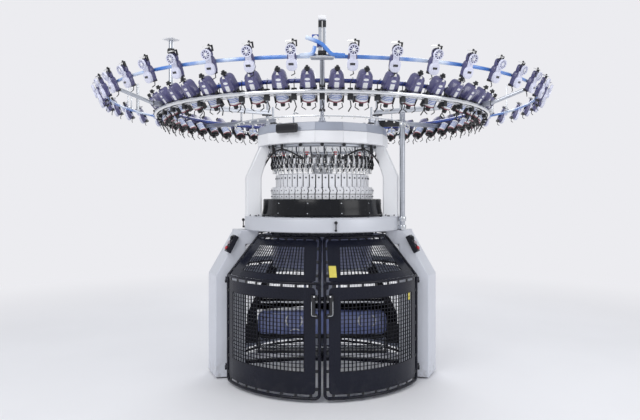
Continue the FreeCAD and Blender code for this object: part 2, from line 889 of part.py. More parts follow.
def takedown():
    """Frame that hangs from the ring gear on two arms, with the casing between its end boxes."""
    end = casing_end()
    arm_outer = end + size.box_thickness
    beam_half = arm_outer - size.arm_head_width - size.arm_beam_inset
    head_outer = size.arm_head_inner + size.arm_head_width
    arm = [
        (arm_outer, size.plate_top),
        (arm_outer, size.plate_top + size.arm_foot_height),
        (head_outer, size.arm_head_bottom),
        (head_outer, size.gear_bottom),
        (size.arm_head_inner, size.gear_bottom),
        (size.arm_head_inner, size.arm_head_bottom),
        (arm_outer - size.arm_head_width, size.casing_top),
        (arm_outer - size.arm_head_width, size.plate_top),
    ]
    arms = [padded(f"takedown_arm_{side}", arm, "sizes.arm_depth", turned(side)) for side in (90, -90)]
    beam_length = CASING_LENGTH + " + (sizes.box_thickness - sizes.arm_head_width - sizes.arm_beam_inset) * 2"
    beam_seat = FreeCAD.Placement(FreeCAD.Vector(-beam_half, 0, size.arm_beam_bottom), FreeCAD.Rotation())
    arms.append(box("takedown_beam", beam_length, "sizes.arm_depth", "sizes.arm_beam_height", beam_seat))
    keep(fuse("takedown_posts", arms), "takedown_posts")

    half = size.casing_depth / 2
    bevel = size.casing_corner
    outline = [
        (-half, size.casing_bottom + bevel),
        (-half + bevel, size.casing_bottom),
        (half - bevel, size.casing_bottom),
        (half, size.casing_bottom + bevel),
        (half, size.casing_top - bevel),
        (half - bevel, size.casing_top),
        (-half + bevel, size.casing_top),
        (-half, size.casing_top - bevel),
    ]
    keep(padded("takedown_casing", outline, CASING_LENGTH, turned(180)), "takedown_casing")

    pieces = []
    wide = size.plate_depth / 2
    slim = size.plate_leg_depth / 2
    plate = [
        (-wide, size.plate_top),
        (-wide, size.plate_shoulder),
        (-slim, size.plate_shoulder - wide + slim),
        (-slim, size.plate_bottom),
        (slim, size.plate_bottom),
        (slim, size.plate_shoulder - wide + slim),
        (wide, size.plate_shoulder),
        (wide, size.plate_top),
    ]
    middle = end + size.plate_thickness / 2
    for side in (-1, 1):
        seat = FreeCAD.Placement(across * (side * middle), FreeCAD.Rotation(up, 90))
        pieces.append(padded(f"takedown_plate_{side + 1}", plate, "sizes.plate_thickness", seat))
        seat = turned(90 * side, end, size.plate_shoulder)
        pieces.append(box(f"takedown_box_{side + 1}", "sizes.box_thickness", "sizes.plate_depth",
                          "sizes.plate_top - sizes.plate_shoulder", seat))
    crossbar = box("takedown_crossbar", CASING_LENGTH, "sizes.crossbar_depth",
                   "sizes.crossbar_height",
                   FreeCAD.Placement(FreeCAD.Vector(-end, 0, size.plate_bottom), FreeCAD.Rotation()))
    pieces.append(crossbar)
    keep(fuse("takedown_frame", pieces), "takedown_frame")


def roller(name, radius, depth, height):
    """Shaft of flat sides along X between the take-down plates."""
    seat = FreeCAD.Placement(
        FreeCAD.Vector(-casing_end() + size.fit_gap, depth, height),
        FreeCAD.Rotation(FreeCAD.Vector(0, 1, 0), 90))
    length = CASING_LENGTH + " - sizes.fit_gap * 2"
    keep(prism(name, ROUND_SIDES, radius, length, seat), name)


def rollers():
    offset = size.draw_radius + size.fit_gap
    roller("draw_roller_front", "sizes.draw_radius", -offset, size.draw_height)
    roller("draw_roller_rear", "sizes.draw_radius", offset, size.draw_height)
    roller("winding_shaft", "sizes.winding_radius", 0, size.winding_height)


# ---------------------------------------------------------------- gates and guards

class GateSide:
    """The side line of a gate: straight up to the knee, then leaning in to the rim."""

    def __init__(self):
        run = size.gate_radius - size.gate_rim_radius
        climb = size.gate_rim_height - size.gate_knee
        self.slope = math.hypot(run, climb)
        self.along = (-run / self.slope, climb / self.slope)
        self.out = (climb / self.slope, run / self.slope)
        self.end = size.gate_knee + self.slope

    def point(self, along, offset):
        """(r, z) at a distance along the line and an offset outwards from it."""
        if along <= size.gate_knee:
            return size.gate_radius + offset, along
        past = along - size.gate_knee
        return (size.gate_radius + self.along[0] * past + self.out[0] * offset,
                size.gate_knee + self.along[1] * past + self.out[1] * offset)

    def knee(self, offset):
        """(r, z) of the mitred bend at an offset."""
        scale = offset / (1 + self.out[0])
        return (size.gate_radius + (1 + self.out[0]) * scale, size.gate_knee + self.out[1] * scale)

    def strip(self, low, high, thickness):
        """Outline of a strip along the line."""
        half = thickness / 2
        bends = low < size.gate_knee < high
        outline = [self.point(low, half)]
        if bends:
            outline.append(self.knee(half))
        outline += [self.point(high, half), self.point(high, -half)]
        if bends:
            outline.append(self.knee(-half))
        outline.append(self.point(low, -half))
        return outline


def window_azimuths(chords):
    return [size.window_start + size.window_pitch * index for index in range(chords + 1)]


def grid_openings(side, thickness, windows):
    """Cutting solids of the openings in a folded sheet, each chord's between bars."""
    half_bar = math.degrees(size.grid_bar / 2 / size.gate_radius)
    cutters = []
    for low, high, rows, azimuths in windows:
        pitch = (high - low + size.grid_bar) / rows
        for row in range(rows):
            foot = low + pitch * row
            outline = side.strip(foot, foot + pitch - size.grid_bar, thickness * 2)
            for start, end in zip(azimuths, azimuths[1:]):
                cutters.append(revolve_facets(outline, (start + half_bar, end - half_bar)))
    return cutters


def gate_pieces():
    """Right gate: tube frame with knuckles, sheet with two grids of openings and tabs, and handle."""
    side = GateSide()
    tube = size.gate_tube
    top = side.end + tube / 2
    post = size.gate_post_angle
    chords = window_azimuths(WINDOW_CHORDS)
    inner = [size.gate_start + post] + chords + [size.gate_end - post]
    outer = [size.gate_start] + inner + [size.gate_end]
    frame = revolve_facets(side.strip(size.gate_bottom, top, tube), outer)
    opening_low = size.gate_bottom + tube
    opening_high = top - tube
    frame = frame.cut(revolve_facets(side.strip(opening_low, opening_high, tube * 1.2), inner))
    low_hinge = size.hinge_low + size.hinge_plate + size.fit_gap
    high_hinge = size.hinge_high + size.hinge_plate + size.fit_gap
    half = size.hinge_width / 2 - size.fit_gap * 10
    radius, azimuth = hinge_polar()
    for height in (low_hinge, high_hinge):
        profile = [
            (radius - half, height),
            (radius + half, height),
            (radius + half, height + size.knuckle_height),
            (radius - half, height + size.knuckle_height),
        ]
        frame = frame.fuse(revolve_facets(profile, (size.gate_end, azimuth + size.tab_angle)))

    slot_angle = math.degrees(size.gate_slot / size.gate_radius)
    sheet_azimuths = [inner[0] + slot_angle] + chords + [inner[-1] - slot_angle]
    sheet_low = opening_low + size.gate_slot
    sheet_high = opening_high - size.gate_slot
    panel = revolve_facets(side.strip(sheet_low, sheet_high, size.gate_sheet), sheet_azimuths)
    hood_chords = window_azimuths(HOOD_WINDOW_CHORDS)
    windows = ((size.window_low, size.window_high, WINDOW_ROWS, chords),
               (size.hood_window_low, size.hood_window_high, HOOD_WINDOW_ROWS, hood_chords))
    panel = panel.cut(grid_openings(side, size.gate_sheet, windows))
    tab = size.tab_angle
    tabs = []
    for azimuth in (chords[2], chords[6]):
        tabs.append((opening_low, sheet_low, (azimuth - tab / 2, azimuth + tab / 2)))
        tabs.append((sheet_high, opening_high, (azimuth - tab / 2, azimuth + tab / 2)))
    width = size.gate_radius * math.radians(tab)
    for low in (size.window_low, size.window_high):
        tabs.append((low, low + width, (inner[0], sheet_azimuths[0])))
        tabs.append((low, low + width, (sheet_azimuths[-1], inner[-1])))
    for low, high, azimuths in tabs:
        panel = panel.fuse(revolve_facets(side.strip(low, high, size.gate_sheet), azimuths))

    face = size.gate_radius + size.gate_sheet / 2 + size.fit_gap
    grip = Lean(face, size.handle_bottom, 0, inner[0])
    slot = size.handle_reach - size.handle_grip
    outline = (
        (0, 0),
        (size.handle_reach, 0),
        (size.handle_reach, size.handle_length),
        (0, size.handle_length),
        (0, size.handle_length - size.handle_foot),
        (slot, size.handle_length - size.handle_foot),
        (slot, size.handle_foot),
        (0, size.handle_foot),
    )
    handle = facet_solid([
        [grip.point(rise, aside, out) for aside, rise in outline]
        for out in (0, size.handle_thickness)
    ])
    return {
        "frame": frame.removeSplitter(),
        "panel": panel.removeSplitter(),
        "handle": handle,
    }


def gates():
    for name, shape in gate_pieces().items():
        right = keep(feature("gate_right_" + name, shape), "gate_right_" + name)
        keep(mirror("gate_left_" + name, right), "gate_left_" + name)


def hinge_polar():
    """Radius and azimuth of the gates' hinge axis."""
    radius = size.gate_radius - size.hinge_inset
    return radius, size.leg_azimuth - math.degrees(math.asin(size.hinge_aside / radius))


def hinge_brackets():
    """Plates on the leg's side that carry the knuckles of the gates."""
    reach = "sizes.hinge_aside + sizes.hinge_width / 2 - sizes.leg_width / 2"
    hinge_out = math.sqrt(hinge_polar()[0] ** 2 - size.hinge_aside ** 2)
    plates = []
    for name, height in (("low", size.hinge_low), ("high", size.hinge_high)):
        seat = turned(size.leg_azimuth - 90).multiply(FreeCAD.Placement(
            FreeCAD.Vector(size.leg_width / 2, hinge_out, height), FreeCAD.Rotation()))
        plate = box("hinge_right_" + name, reach, "sizes.hinge_width", "sizes.hinge_plate", seat)
        plates += [plate, mirror("hinge_left_" + name, plate)]
    group("hinge_brackets", plates)


def rear_guards():
    """Folded sheets with openings that close the two rear bays between the legs."""
    side = GateSide()
    step = (size.guard_end - size.guard_start) / GUARD_CHORDS
    azimuths = [size.guard_start + step * index for index in range(GUARD_CHORDS + 1)]
    outline = side.strip(size.gate_bottom, side.end, size.guard_sheet)
    sheet_shape = revolve_facets(outline, azimuths)
    inner = [size.guard_start + size.guard_border] + azimuths[1:-1] + [size.guard_end - size.guard_border]
    windows = ((size.window_low, size.window_high, 1, inner),
               (size.hood_window_low, size.hood_window_high, 1, inner))
    sheet_shape = sheet_shape.cut(grid_openings(side, size.guard_sheet, windows))
    width = size.leg_width + 2 * size.fit_gap
    for azimuth in (size.leg_azimuth, 180):
        slab = Part.makeBox(size.gate_radius * 2, width, size.bed_bottom, FreeCAD.Vector(0, -width / 2, 0))
        slab.Placement = turned(azimuth).multiply(slab.Placement)
        sheet_shape = sheet_shape.cut(slab)
    right = feature("guard_right", sheet_shape)
    group("rear_guards", [right, mirror("guard_left", right)])


# ---------------------------------------------------------------- controls

def station_placement():
    """Seat of the button box on the bevel of the left leg."""
    shrink = math.cos(math.radians(size.leg_skew))
    run = (size.leg_outer - size.leg_top_outer) * shrink
    slope = math.atan2(run, size.leg_shoulder - size.leg_knee)
    out = size.leg_outer + (size.leg_top_outer - size.leg_outer) * size.station_rise
    height = size.leg_knee + (size.leg_shoulder - size.leg_knee) * size.station_rise
    face = turned(-size.leg_azimuth + size.leg_skew)
    spot = FreeCAD.Vector(out * shrink, size.station_shift, height)
    lean = FreeCAD.Rotation(FreeCAD.Vector(0, 1, 0), 90 - math.degrees(slope))
    return face.multiply(FreeCAD.Placement(spot, lean))


def controls():
    """Button boxes on the left and right legs, each with three buttons in a row."""
    seat = station_placement()
    offset = FreeCAD.Placement(FreeCAD.Vector(-size.station_length / 2, 0, 0), FreeCAD.Rotation())
    block = box("button_block", "sizes.station_length", "sizes.station_width",
                "sizes.station_height", seat.multiply(offset))
    recess_length = "sizes.button_pitch * 2 + sizes.button_radius * 2 + sizes.fit_gap * 2"
    shift = -size.button_pitch - size.button_radius - size.fit_gap
    floor = FreeCAD.Vector(shift, 0, size.station_height - size.button_recess)
    recess = box("button_recess", recess_length, "sizes.button_radius * 2 + sizes.fit_gap * 2",
                 "sizes.button_recess", seat.multiply(FreeCAD.Placement(floor, FreeCAD.Rotation())))
    left = boolean("Part::Cut", "button_box_left", block, recess)
    group("button_boxes", [left, mirror("button_box_right", left)])
    lift = size.station_height - size.button_recess + size.button_travel + size.fit_gap
    height = "sizes.button_height + sizes.button_recess - sizes.button_travel - sizes.fit_gap"
    for index, name in enumerate(("jog", "start", "stop")):
        along = (index - 1) * size.button_pitch
        spot = FreeCAD.Placement(FreeCAD.Vector(along, 0, lift), FreeCAD.Rotation())
        button = prism(f"{name}_button_left", ROUND_SIDES, "sizes.button_radius", height,
                       seat.multiply(spot))
        keep(button, f"{name}_button_left")
        keep(mirror(f"{name}_button_right", button), f"{name}_button_right")


def lever(label, azimuth):
    """Hand lever on the rim of the bed: hub, bar and knob."""
    base = size.bed_radius + size.fit_gap
    level = size.bed_bottom + size.lever_rise
    outward = polar(azimuth, 1, 0)
    hub = []
    for radius in (base, base + size.lever_hub_length):
        ring = []
        for corner in range(SLIM_SIDES):
            angle = 2 * math.pi * corner / SLIM_SIDES
            offset = polar(azimuth + 90, size.lever_hub_radius * math.cos(angle), 0)
            offset += up * (size.lever_hub_radius * math.sin(angle))
            ring.append(outward * radius + up * level + offset)
        hub.append(ring)
    middle = base + size.lever_knob
    foot = polar(azimuth, middle, level + size.lever_hub_radius / 2)
    head = foot + up * size.lever_length
    aside = polar(azimuth + 90, 1, 0)
    bar = mitred_tube([foot, head], size.lever_bar, SLIM_SIDES, aside)
    knob = mitred_tube([head, head + up * (size.lever_knob * 2)], size.lever_knob, ROUND_SIDES, aside)
    shape = facet_solid(hub).fuse(bar).fuse(knob).removeSplitter()
    keep(feature(label, shape), label)


def levers():
    lever("front_lever", size.lever_azimuth)
    lever("left_lever", -size.lever_turn)


# ---------------------------------------------------------------- build and export

legs()
levelling_pads()
base_cross()
bed_ring()
uprights()
upper_ring()
cylinder_skirt()
cam_segments()
yarn_carriers()
ring_posts()
ring_arms()
feeder_rings()
ring_clamps()
ring_hangers()
storage_feeders()
feeder_hose()
roller_feeders()
head_mast()
head_hoses()
rear_mast()
side_column()
lamp_box()
ring_gear()
drive_pinion()
drive_motor()
needle_cylinder()
needles()
takedown()
rollers()
gates()
hinge_brackets()
rear_guards()
controls()
levers()
doc.recompute()

for item in doc.Objects:
    if "Invalid" in item.State or "Error" in item.State:
        raise RuntimeError(f"{item.Label} failed to compute: {item.State}")
for item in subparts:
    if item.Shape.isNull() or not item.Shape.isValid() or not item.Shape.Solids:
        raise RuntimeError(f"{item.Label} has no valid solid")

os.makedirs("parts", exist_ok=True)
for item in subparts:
    item.Shape.exportStep(f"parts/{item.Label}.step")
print(f"{len(subparts)} nodes, {sum(len(item.Shape.Solids) for item in subparts)} solids")
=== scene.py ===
"""Looks of a circular knitting machine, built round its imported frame.

Metres, +Z up, the front is towards -Y. An azimuth is counted in degrees from the front,
positive to the right. Pieces that stand all round the machine are made once, at azimuth 0,
and then repeated.
"""
import json
import logging
import math
from dataclasses import dataclass, field
from enum import Enum
from typing import Iterable, Optional, Sequence, Union

import bmesh
import bpy
from mathutils import Matrix, Vector


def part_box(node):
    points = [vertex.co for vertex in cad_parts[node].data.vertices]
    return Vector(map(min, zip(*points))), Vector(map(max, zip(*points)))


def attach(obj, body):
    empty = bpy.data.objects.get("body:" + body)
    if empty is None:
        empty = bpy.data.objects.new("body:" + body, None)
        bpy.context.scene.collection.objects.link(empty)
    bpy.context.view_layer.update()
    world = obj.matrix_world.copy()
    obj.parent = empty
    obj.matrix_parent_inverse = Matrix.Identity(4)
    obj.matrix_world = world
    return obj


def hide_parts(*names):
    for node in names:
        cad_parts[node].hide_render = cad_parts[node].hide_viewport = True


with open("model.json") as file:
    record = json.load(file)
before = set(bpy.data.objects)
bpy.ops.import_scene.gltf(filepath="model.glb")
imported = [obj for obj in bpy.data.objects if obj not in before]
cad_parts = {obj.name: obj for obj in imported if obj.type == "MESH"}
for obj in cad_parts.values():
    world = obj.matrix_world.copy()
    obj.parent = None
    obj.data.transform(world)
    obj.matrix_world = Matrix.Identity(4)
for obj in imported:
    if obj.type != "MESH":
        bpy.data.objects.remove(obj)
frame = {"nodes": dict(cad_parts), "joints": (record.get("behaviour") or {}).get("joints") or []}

log = logging.getLogger("knitting_machine")
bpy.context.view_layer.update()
IMAGE_WIDTH = 640
FULL_TURN = 360.0
BODY = "frame"
CYLINDER = "cylinder"
CROWN_SIDES = 16
INNER_RING_SIDES = 48
OUTER_RING_SIDES = 96
SMOOTH = 96
WELD = 2e-5
TIP_RADIUS = 1e-5
FLAT_WITHIN = math.radians(1.0)

Colour = tuple[float, float, float]
Point2 = tuple[float, float]
Shade = Union[Colour, bpy.types.NodeSocket]


# ---------------------------------------------------------------- shader graph

class Signal:
    """A number that varies over a surface. Arithmetic on it adds Math nodes."""

    def __init__(self, graph: "Graph", socket: bpy.types.NodeSocket) -> None:
        """Wraps an output socket of a graph."""
        self.graph = graph
        self.socket = socket

    def __add__(self, other: "Number") -> "Signal":
        """Sum."""
        return self.graph.math("ADD", self, other)

    __radd__ = __add__

    def __sub__(self, other: "Number") -> "Signal":
        """Difference."""
        return self.graph.math("SUBTRACT", self, other)

    def __rsub__(self, other: "Number") -> "Signal":
        """Difference from a plain number."""
        return self.graph.math("SUBTRACT", other, self)

    def __mul__(self, other: "Number") -> "Signal":
        """Product."""
        return self.graph.math("MULTIPLY", self, other)

    def ramp(self, low: float, high: float) -> "Signal":
        """Rises smoothly from 0 at low to 1 at high."""
        node = self.graph.node(
            "ShaderNodeMapRange", {"interpolation_type": "SMOOTHSTEP"},
            {"Value": self, "From Min": low, "From Max": high}
        )
        return Signal(self.graph, node.outputs[0])


Number = Union[Signal, float]


class NodeTree:
    """Adds nodes to the tree of a material or of a geometry modifier."""

    tree: bpy.types.NodeTree

    def set(self, node: bpy.types.Node, name: Union[str, int], value: object) -> None:
        """Gives a node's input a value, a link or a signal.

        Args:
            node: the node.
            name: name or index of the input.
            value: what it gets.
        """
        source = value.socket if isinstance(value, Signal) else value
        if isinstance(source, bpy.types.NodeSocket):
            self.tree.links.new(source, node.inputs[name])
        else:
            node.inputs[name].default_value = source

    def node(
        self, kind: str, settings: Optional[dict] = None, sockets: Optional[dict] = None
    ) -> bpy.types.Node:
        """Adds a node.

        Args:
            kind: the node's type.
            settings: its properties, such as an operation.
            sockets: values or links of its inputs, by name or index.

        Returns:
            The node.
        """
        made = self.tree.nodes.new(kind)
        for name, value in (settings or {}).items():
            setattr(made, name, value)
        for name, value in (sockets or {}).items():
            self.set(made, name, value)
        return made


class Graph(NodeTree):
    """Node tree of one material, with its Principled shader."""

    def __init__(self, material: bpy.types.Material) -> None:
        """Clears the material's tree and adds the shader and its output.

        Args:
            material: the material to dress.
        """
        material.use_nodes = True
        self.tree = material.node_tree
        self.tree.nodes.clear()
        self.shader = self.node("ShaderNodeBsdfPrincipled")
        self.output = self.node("ShaderNodeOutputMaterial", {}, {"Surface": self.shader.outputs[0]})
        self.place = self.node("ShaderNodeTexCoord").outputs["Object"]

    def math(self, operation: str, first: Number, second: Number) -> Signal:
        """Adds a Math node for two values."""
        made = self.node("ShaderNodeMath", {"operation": operation}, {0: first, 1: second})
        return Signal(self, made.outputs[0])

    def stretched(self, scale: Colour) -> bpy.types.NodeSocket:
        """Object coordinates, scaled along each axis."""
        return self.node("ShaderNodeMapping", {}, {"Vector": self.place, "Scale": scale}).outputs[0]

    def noise(self, scale: float, detail: float = 3.0, stretch: Colour = (1.0, 1.0, 1.0)) -> Signal:
        """Cloudy noise over the piece."""
        made = self.node("ShaderNodeTexNoise", {}, {
            "Vector": self.stretched(stretch), "Scale": scale, "Detail": detail
        })
        return Signal(self, made.outputs["Fac"])

    def facing_up(self) -> Signal:
        """1 on faces that look up, 0 on walls.

        Returns:
            The signal.
        """
        normal = self.node("ShaderNodeNewGeometry").outputs["Normal"]
        split = self.node("ShaderNodeSeparateXYZ", {}, {"Vector": normal})
        return Signal(self, split.outputs["Z"]).ramp(0.3, 0.95)

    def axis(self, name: str) -> Signal:
        """Object coordinate along X, Y or Z."""
        split = self.node("ShaderNodeSeparateXYZ", {}, {"Vector": self.place})
        return Signal(self, split.outputs[name])

    def blend(self, factor: Number, first: Shade, second: Shade) -> bpy.types.NodeSocket:
        """Mixes two colours."""
        made = self.node(
            "ShaderNodeMix", {"data_type": "RGBA"}, {0: factor, 6: opaque(first), 7: opaque(second)}
        )
        return made.outputs[2]

    def colour(self, value: Shade) -> None:
        """Sets the base colour."""
        self.feed("Base Color", opaque(value))

    def feed(self, name: str, value: Union[Number, bpy.types.NodeSocket, tuple]) -> None:
        """Gives one of the shader's inputs a value or a link."""
        self.set(self.shader, name, value)

    def bump(self, height: Signal, depth: float) -> None:
        """Raises the surface by a height of up to depth metres."""
        made = self.node(
            "ShaderNodeBump", {}, {"Height": height, "Distance": depth, "Strength": 1.0}
        )
        self.feed("Normal", made.outputs[0])


def opaque(value: Shade) -> Shade:
    """Adds a full alpha to a plain colour, and leaves a link as it is."""
    return value if isinstance(value, bpy.types.NodeSocket) else (*value, 1.0)


def paint(red: int, green: int, blue: int) -> Colour:
    """Colour as it is seen, 0 to 255 a channel, in the renderer's linear values."""
    seen = [channel / 255 for channel in (red, green, blue)]
    return tuple(c / 12.92 if c <= 0.04045 else ((c + 0.055) / 1.055) ** 2.4 for c in seen)


def darker(colour: Colour, share: float) -> Colour:
    """The colour times a share."""
    return tuple(channel * share for channel in colour)


# ---------------------------------------------------------------- finishes

DUST = paint(176, 172, 166)
GRIME = paint(120, 112, 104)
SOOT = paint(70, 69, 72)


@dataclass(frozen=True)
class Finish:
    """Common part of every finish: name, colour, gloss and usual material slot."""

    name: str
    colour: Colour
    roughness: float = 0.4
    slot: str = ""

    def material(self) -> bpy.types.Material:
        """The material, made the first time it is asked for.

        Returns:
            The material.
        """
        found = bpy.data.materials.get(self.name)
        if found is None:
            found = bpy.data.materials.new(self.name)
            self.dress(Graph(found))
            found.diffuse_color = (*self.colour, 1.0)
        return found

    def dress(self, graph: Graph) -> None:
        """Sets up the shader."""
        raise NotImplementedError


@dataclass(frozen=True)
class Enamel(Finish):
    """Baked paint: orange peel, faint clouds, dust on top and grime at the floor."""

    coat: float = 0.3
    peel: float = 0.00012
    dust: float = 0.25
    grime: float = 0.35

    def dress(self, graph: Graph) -> None:
        """Sets up the shader.

        Args:
            graph: the material's graph.
        """
        clouds = graph.noise(3.0, 4.0)
        fine = graph.noise(420.0, 2.0)
        specks = graph.noise(160.0, 3.0).ramp(0.66, 0.72)
        height = graph.axis("Z")
        low = (1.0 - height.ramp(0.0, 0.22)) * graph.noise(26.0, 5.0).ramp(0.42, 0.7) * self.grime
        base = graph.blend(clouds.ramp(0.3, 0.7), darker(self.colour, 0.94), self.colour)
        dusty = graph.blend(graph.facing_up() * self.dust, base, DUST)
        stained = graph.blend(low, dusty, GRIME)
        graph.colour(graph.blend(specks * 0.16, stained, darker(self.colour, 0.55)))
        graph.feed("Roughness", clouds * 0.12 + fine * 0.06 + (self.roughness - 0.09))
        graph.feed("Coat Weight", self.coat)
        graph.feed("Coat Roughness", 0.12)
        graph.bump(fine + graph.noise(90.0, 2.0) * 0.6, self.peel)


@dataclass(frozen=True)
class Plastic(Finish):
    """Moulded plastic: fine grain, flow clouds and rubbed patches."""

    coat: float = 0.0
    grain: float = 0.00008
    specular: float = 0.5

    def dress(self, graph: Graph) -> None:
        """Sets up the shader.

        Args:
            graph: the material's graph.
        """
        clouds = graph.noise(9.0, 4.0)
        fine = graph.noise(900.0, 2.0)
        rubbed = graph.noise(38.0, 5.0).ramp(0.55, 0.75)
        base = graph.blend(clouds.ramp(0.3, 0.7), darker(self.colour, 0.86), self.colour)
        light = tuple(min(1.0, channel * 1.25 + 0.01) for channel in self.colour)
        graph.colour(graph.blend(rubbed * 0.35, base, light))
        graph.feed("Roughness", self.roughness + rubbed * 0.1 - clouds * 0.06)
        graph.feed("Coat Weight", self.coat)
        graph.feed("Coat Roughness", 0.06)
        graph.feed("Specular IOR Level", self.specular)
        graph.bump(fine, self.grain)


@dataclass(frozen=True)
class Metal(Finish):
    """Bare or plated metal with tool lines along one axis and faint tarnish."""

    lines: Colour = (1.0, 1.0, 40.0)
    depth: float = 0.00003
    tarnish: float = 0.25

    def dress(self, graph: Graph) -> None:
        """Sets up the shader.

        Args:
            graph: the material's graph.
        """
        brushed = graph.noise(18.0, 4.0, self.lines)
        blotches = graph.noise(22.0, 5.0).ramp(0.5, 0.8)
        base = graph.blend(brushed.ramp(0.25, 0.75), darker(self.colour, 0.82), self.colour)
        graph.colour(graph.blend(blotches * self.tarnish, base, darker(self.colour, 0.5)))
        graph.feed("Metallic", 1.0)
        graph.feed("Roughness", self.roughness + brushed * 0.12 + blotches * 0.1 - 0.06)
        graph.bump(brushed, self.depth)


@dataclass(frozen=True)
class Hose(Finish):
    """Glossy air hose whose colour pales in random patches: painted highlights along the hose."""

    # pale: colour of the painted highlight patches.
    pale: Colour = (1.0, 1.0, 1.0)

    def dress(self, graph: Graph) -> None:
        """Sets up the shader.

        Args:
            graph: the material's graph.
        """
        # glow masks the painted highlight patches, laid at random along the hose.
        glow = graph.noise(3.4, 3.0).ramp(0.46, 0.66)
        fine = graph.noise(140.0, 3.0)
        graph.colour(graph.blend(glow, self.colour, self.pale))
        graph.feed("Roughness", self.roughness + fine * 0.1)
        graph.feed("Coat Weight", 0.8)
        graph.feed("Coat Roughness", 0.05)
        graph.bump(fine, 0.00005)


@dataclass(frozen=True)
class Sheet(Finish):
    """Powder-coated sheet: pebbled coat, worn lighter in places."""

    pebble: float = 0.0002
    scuffs: float = 0.3

    def dress(self, graph: Graph) -> None:
        """Sets up the shader.

        Args:
            graph: the material's graph.
        """
        clouds = graph.noise(2.6, 4.0)
        pebbles = graph.noise(520.0, 2.0)
        scratches = graph.noise(34.0, 6.0, (1.0, 1.0, 0.12)).ramp(0.6, 0.72)
        light = tuple(min(1.0, channel * 1.9 + 0.02) for channel in self.colour)
        base = graph.blend(clouds.ramp(0.3, 0.7), darker(self.colour, 0.8), self.colour)
        worn = graph.blend(scratches * self.scuffs, base, light)
        low = (1.0 - graph.axis("Z").ramp(0.0, 0.3)) * graph.noise(16.0, 5.0).ramp(0.45, 0.75)
        graph.colour(graph.blend(low * 0.2, worn, SOOT))
        graph.feed("Roughness", self.roughness + pebbles * 0.1 - clouds * 0.08)
        graph.feed("Coat Weight", 0.06)
        graph.feed("Coat Roughness", 0.2)
        graph.feed("Specular IOR Level", 0.22)
        graph.bump(pebbles, self.pebble)


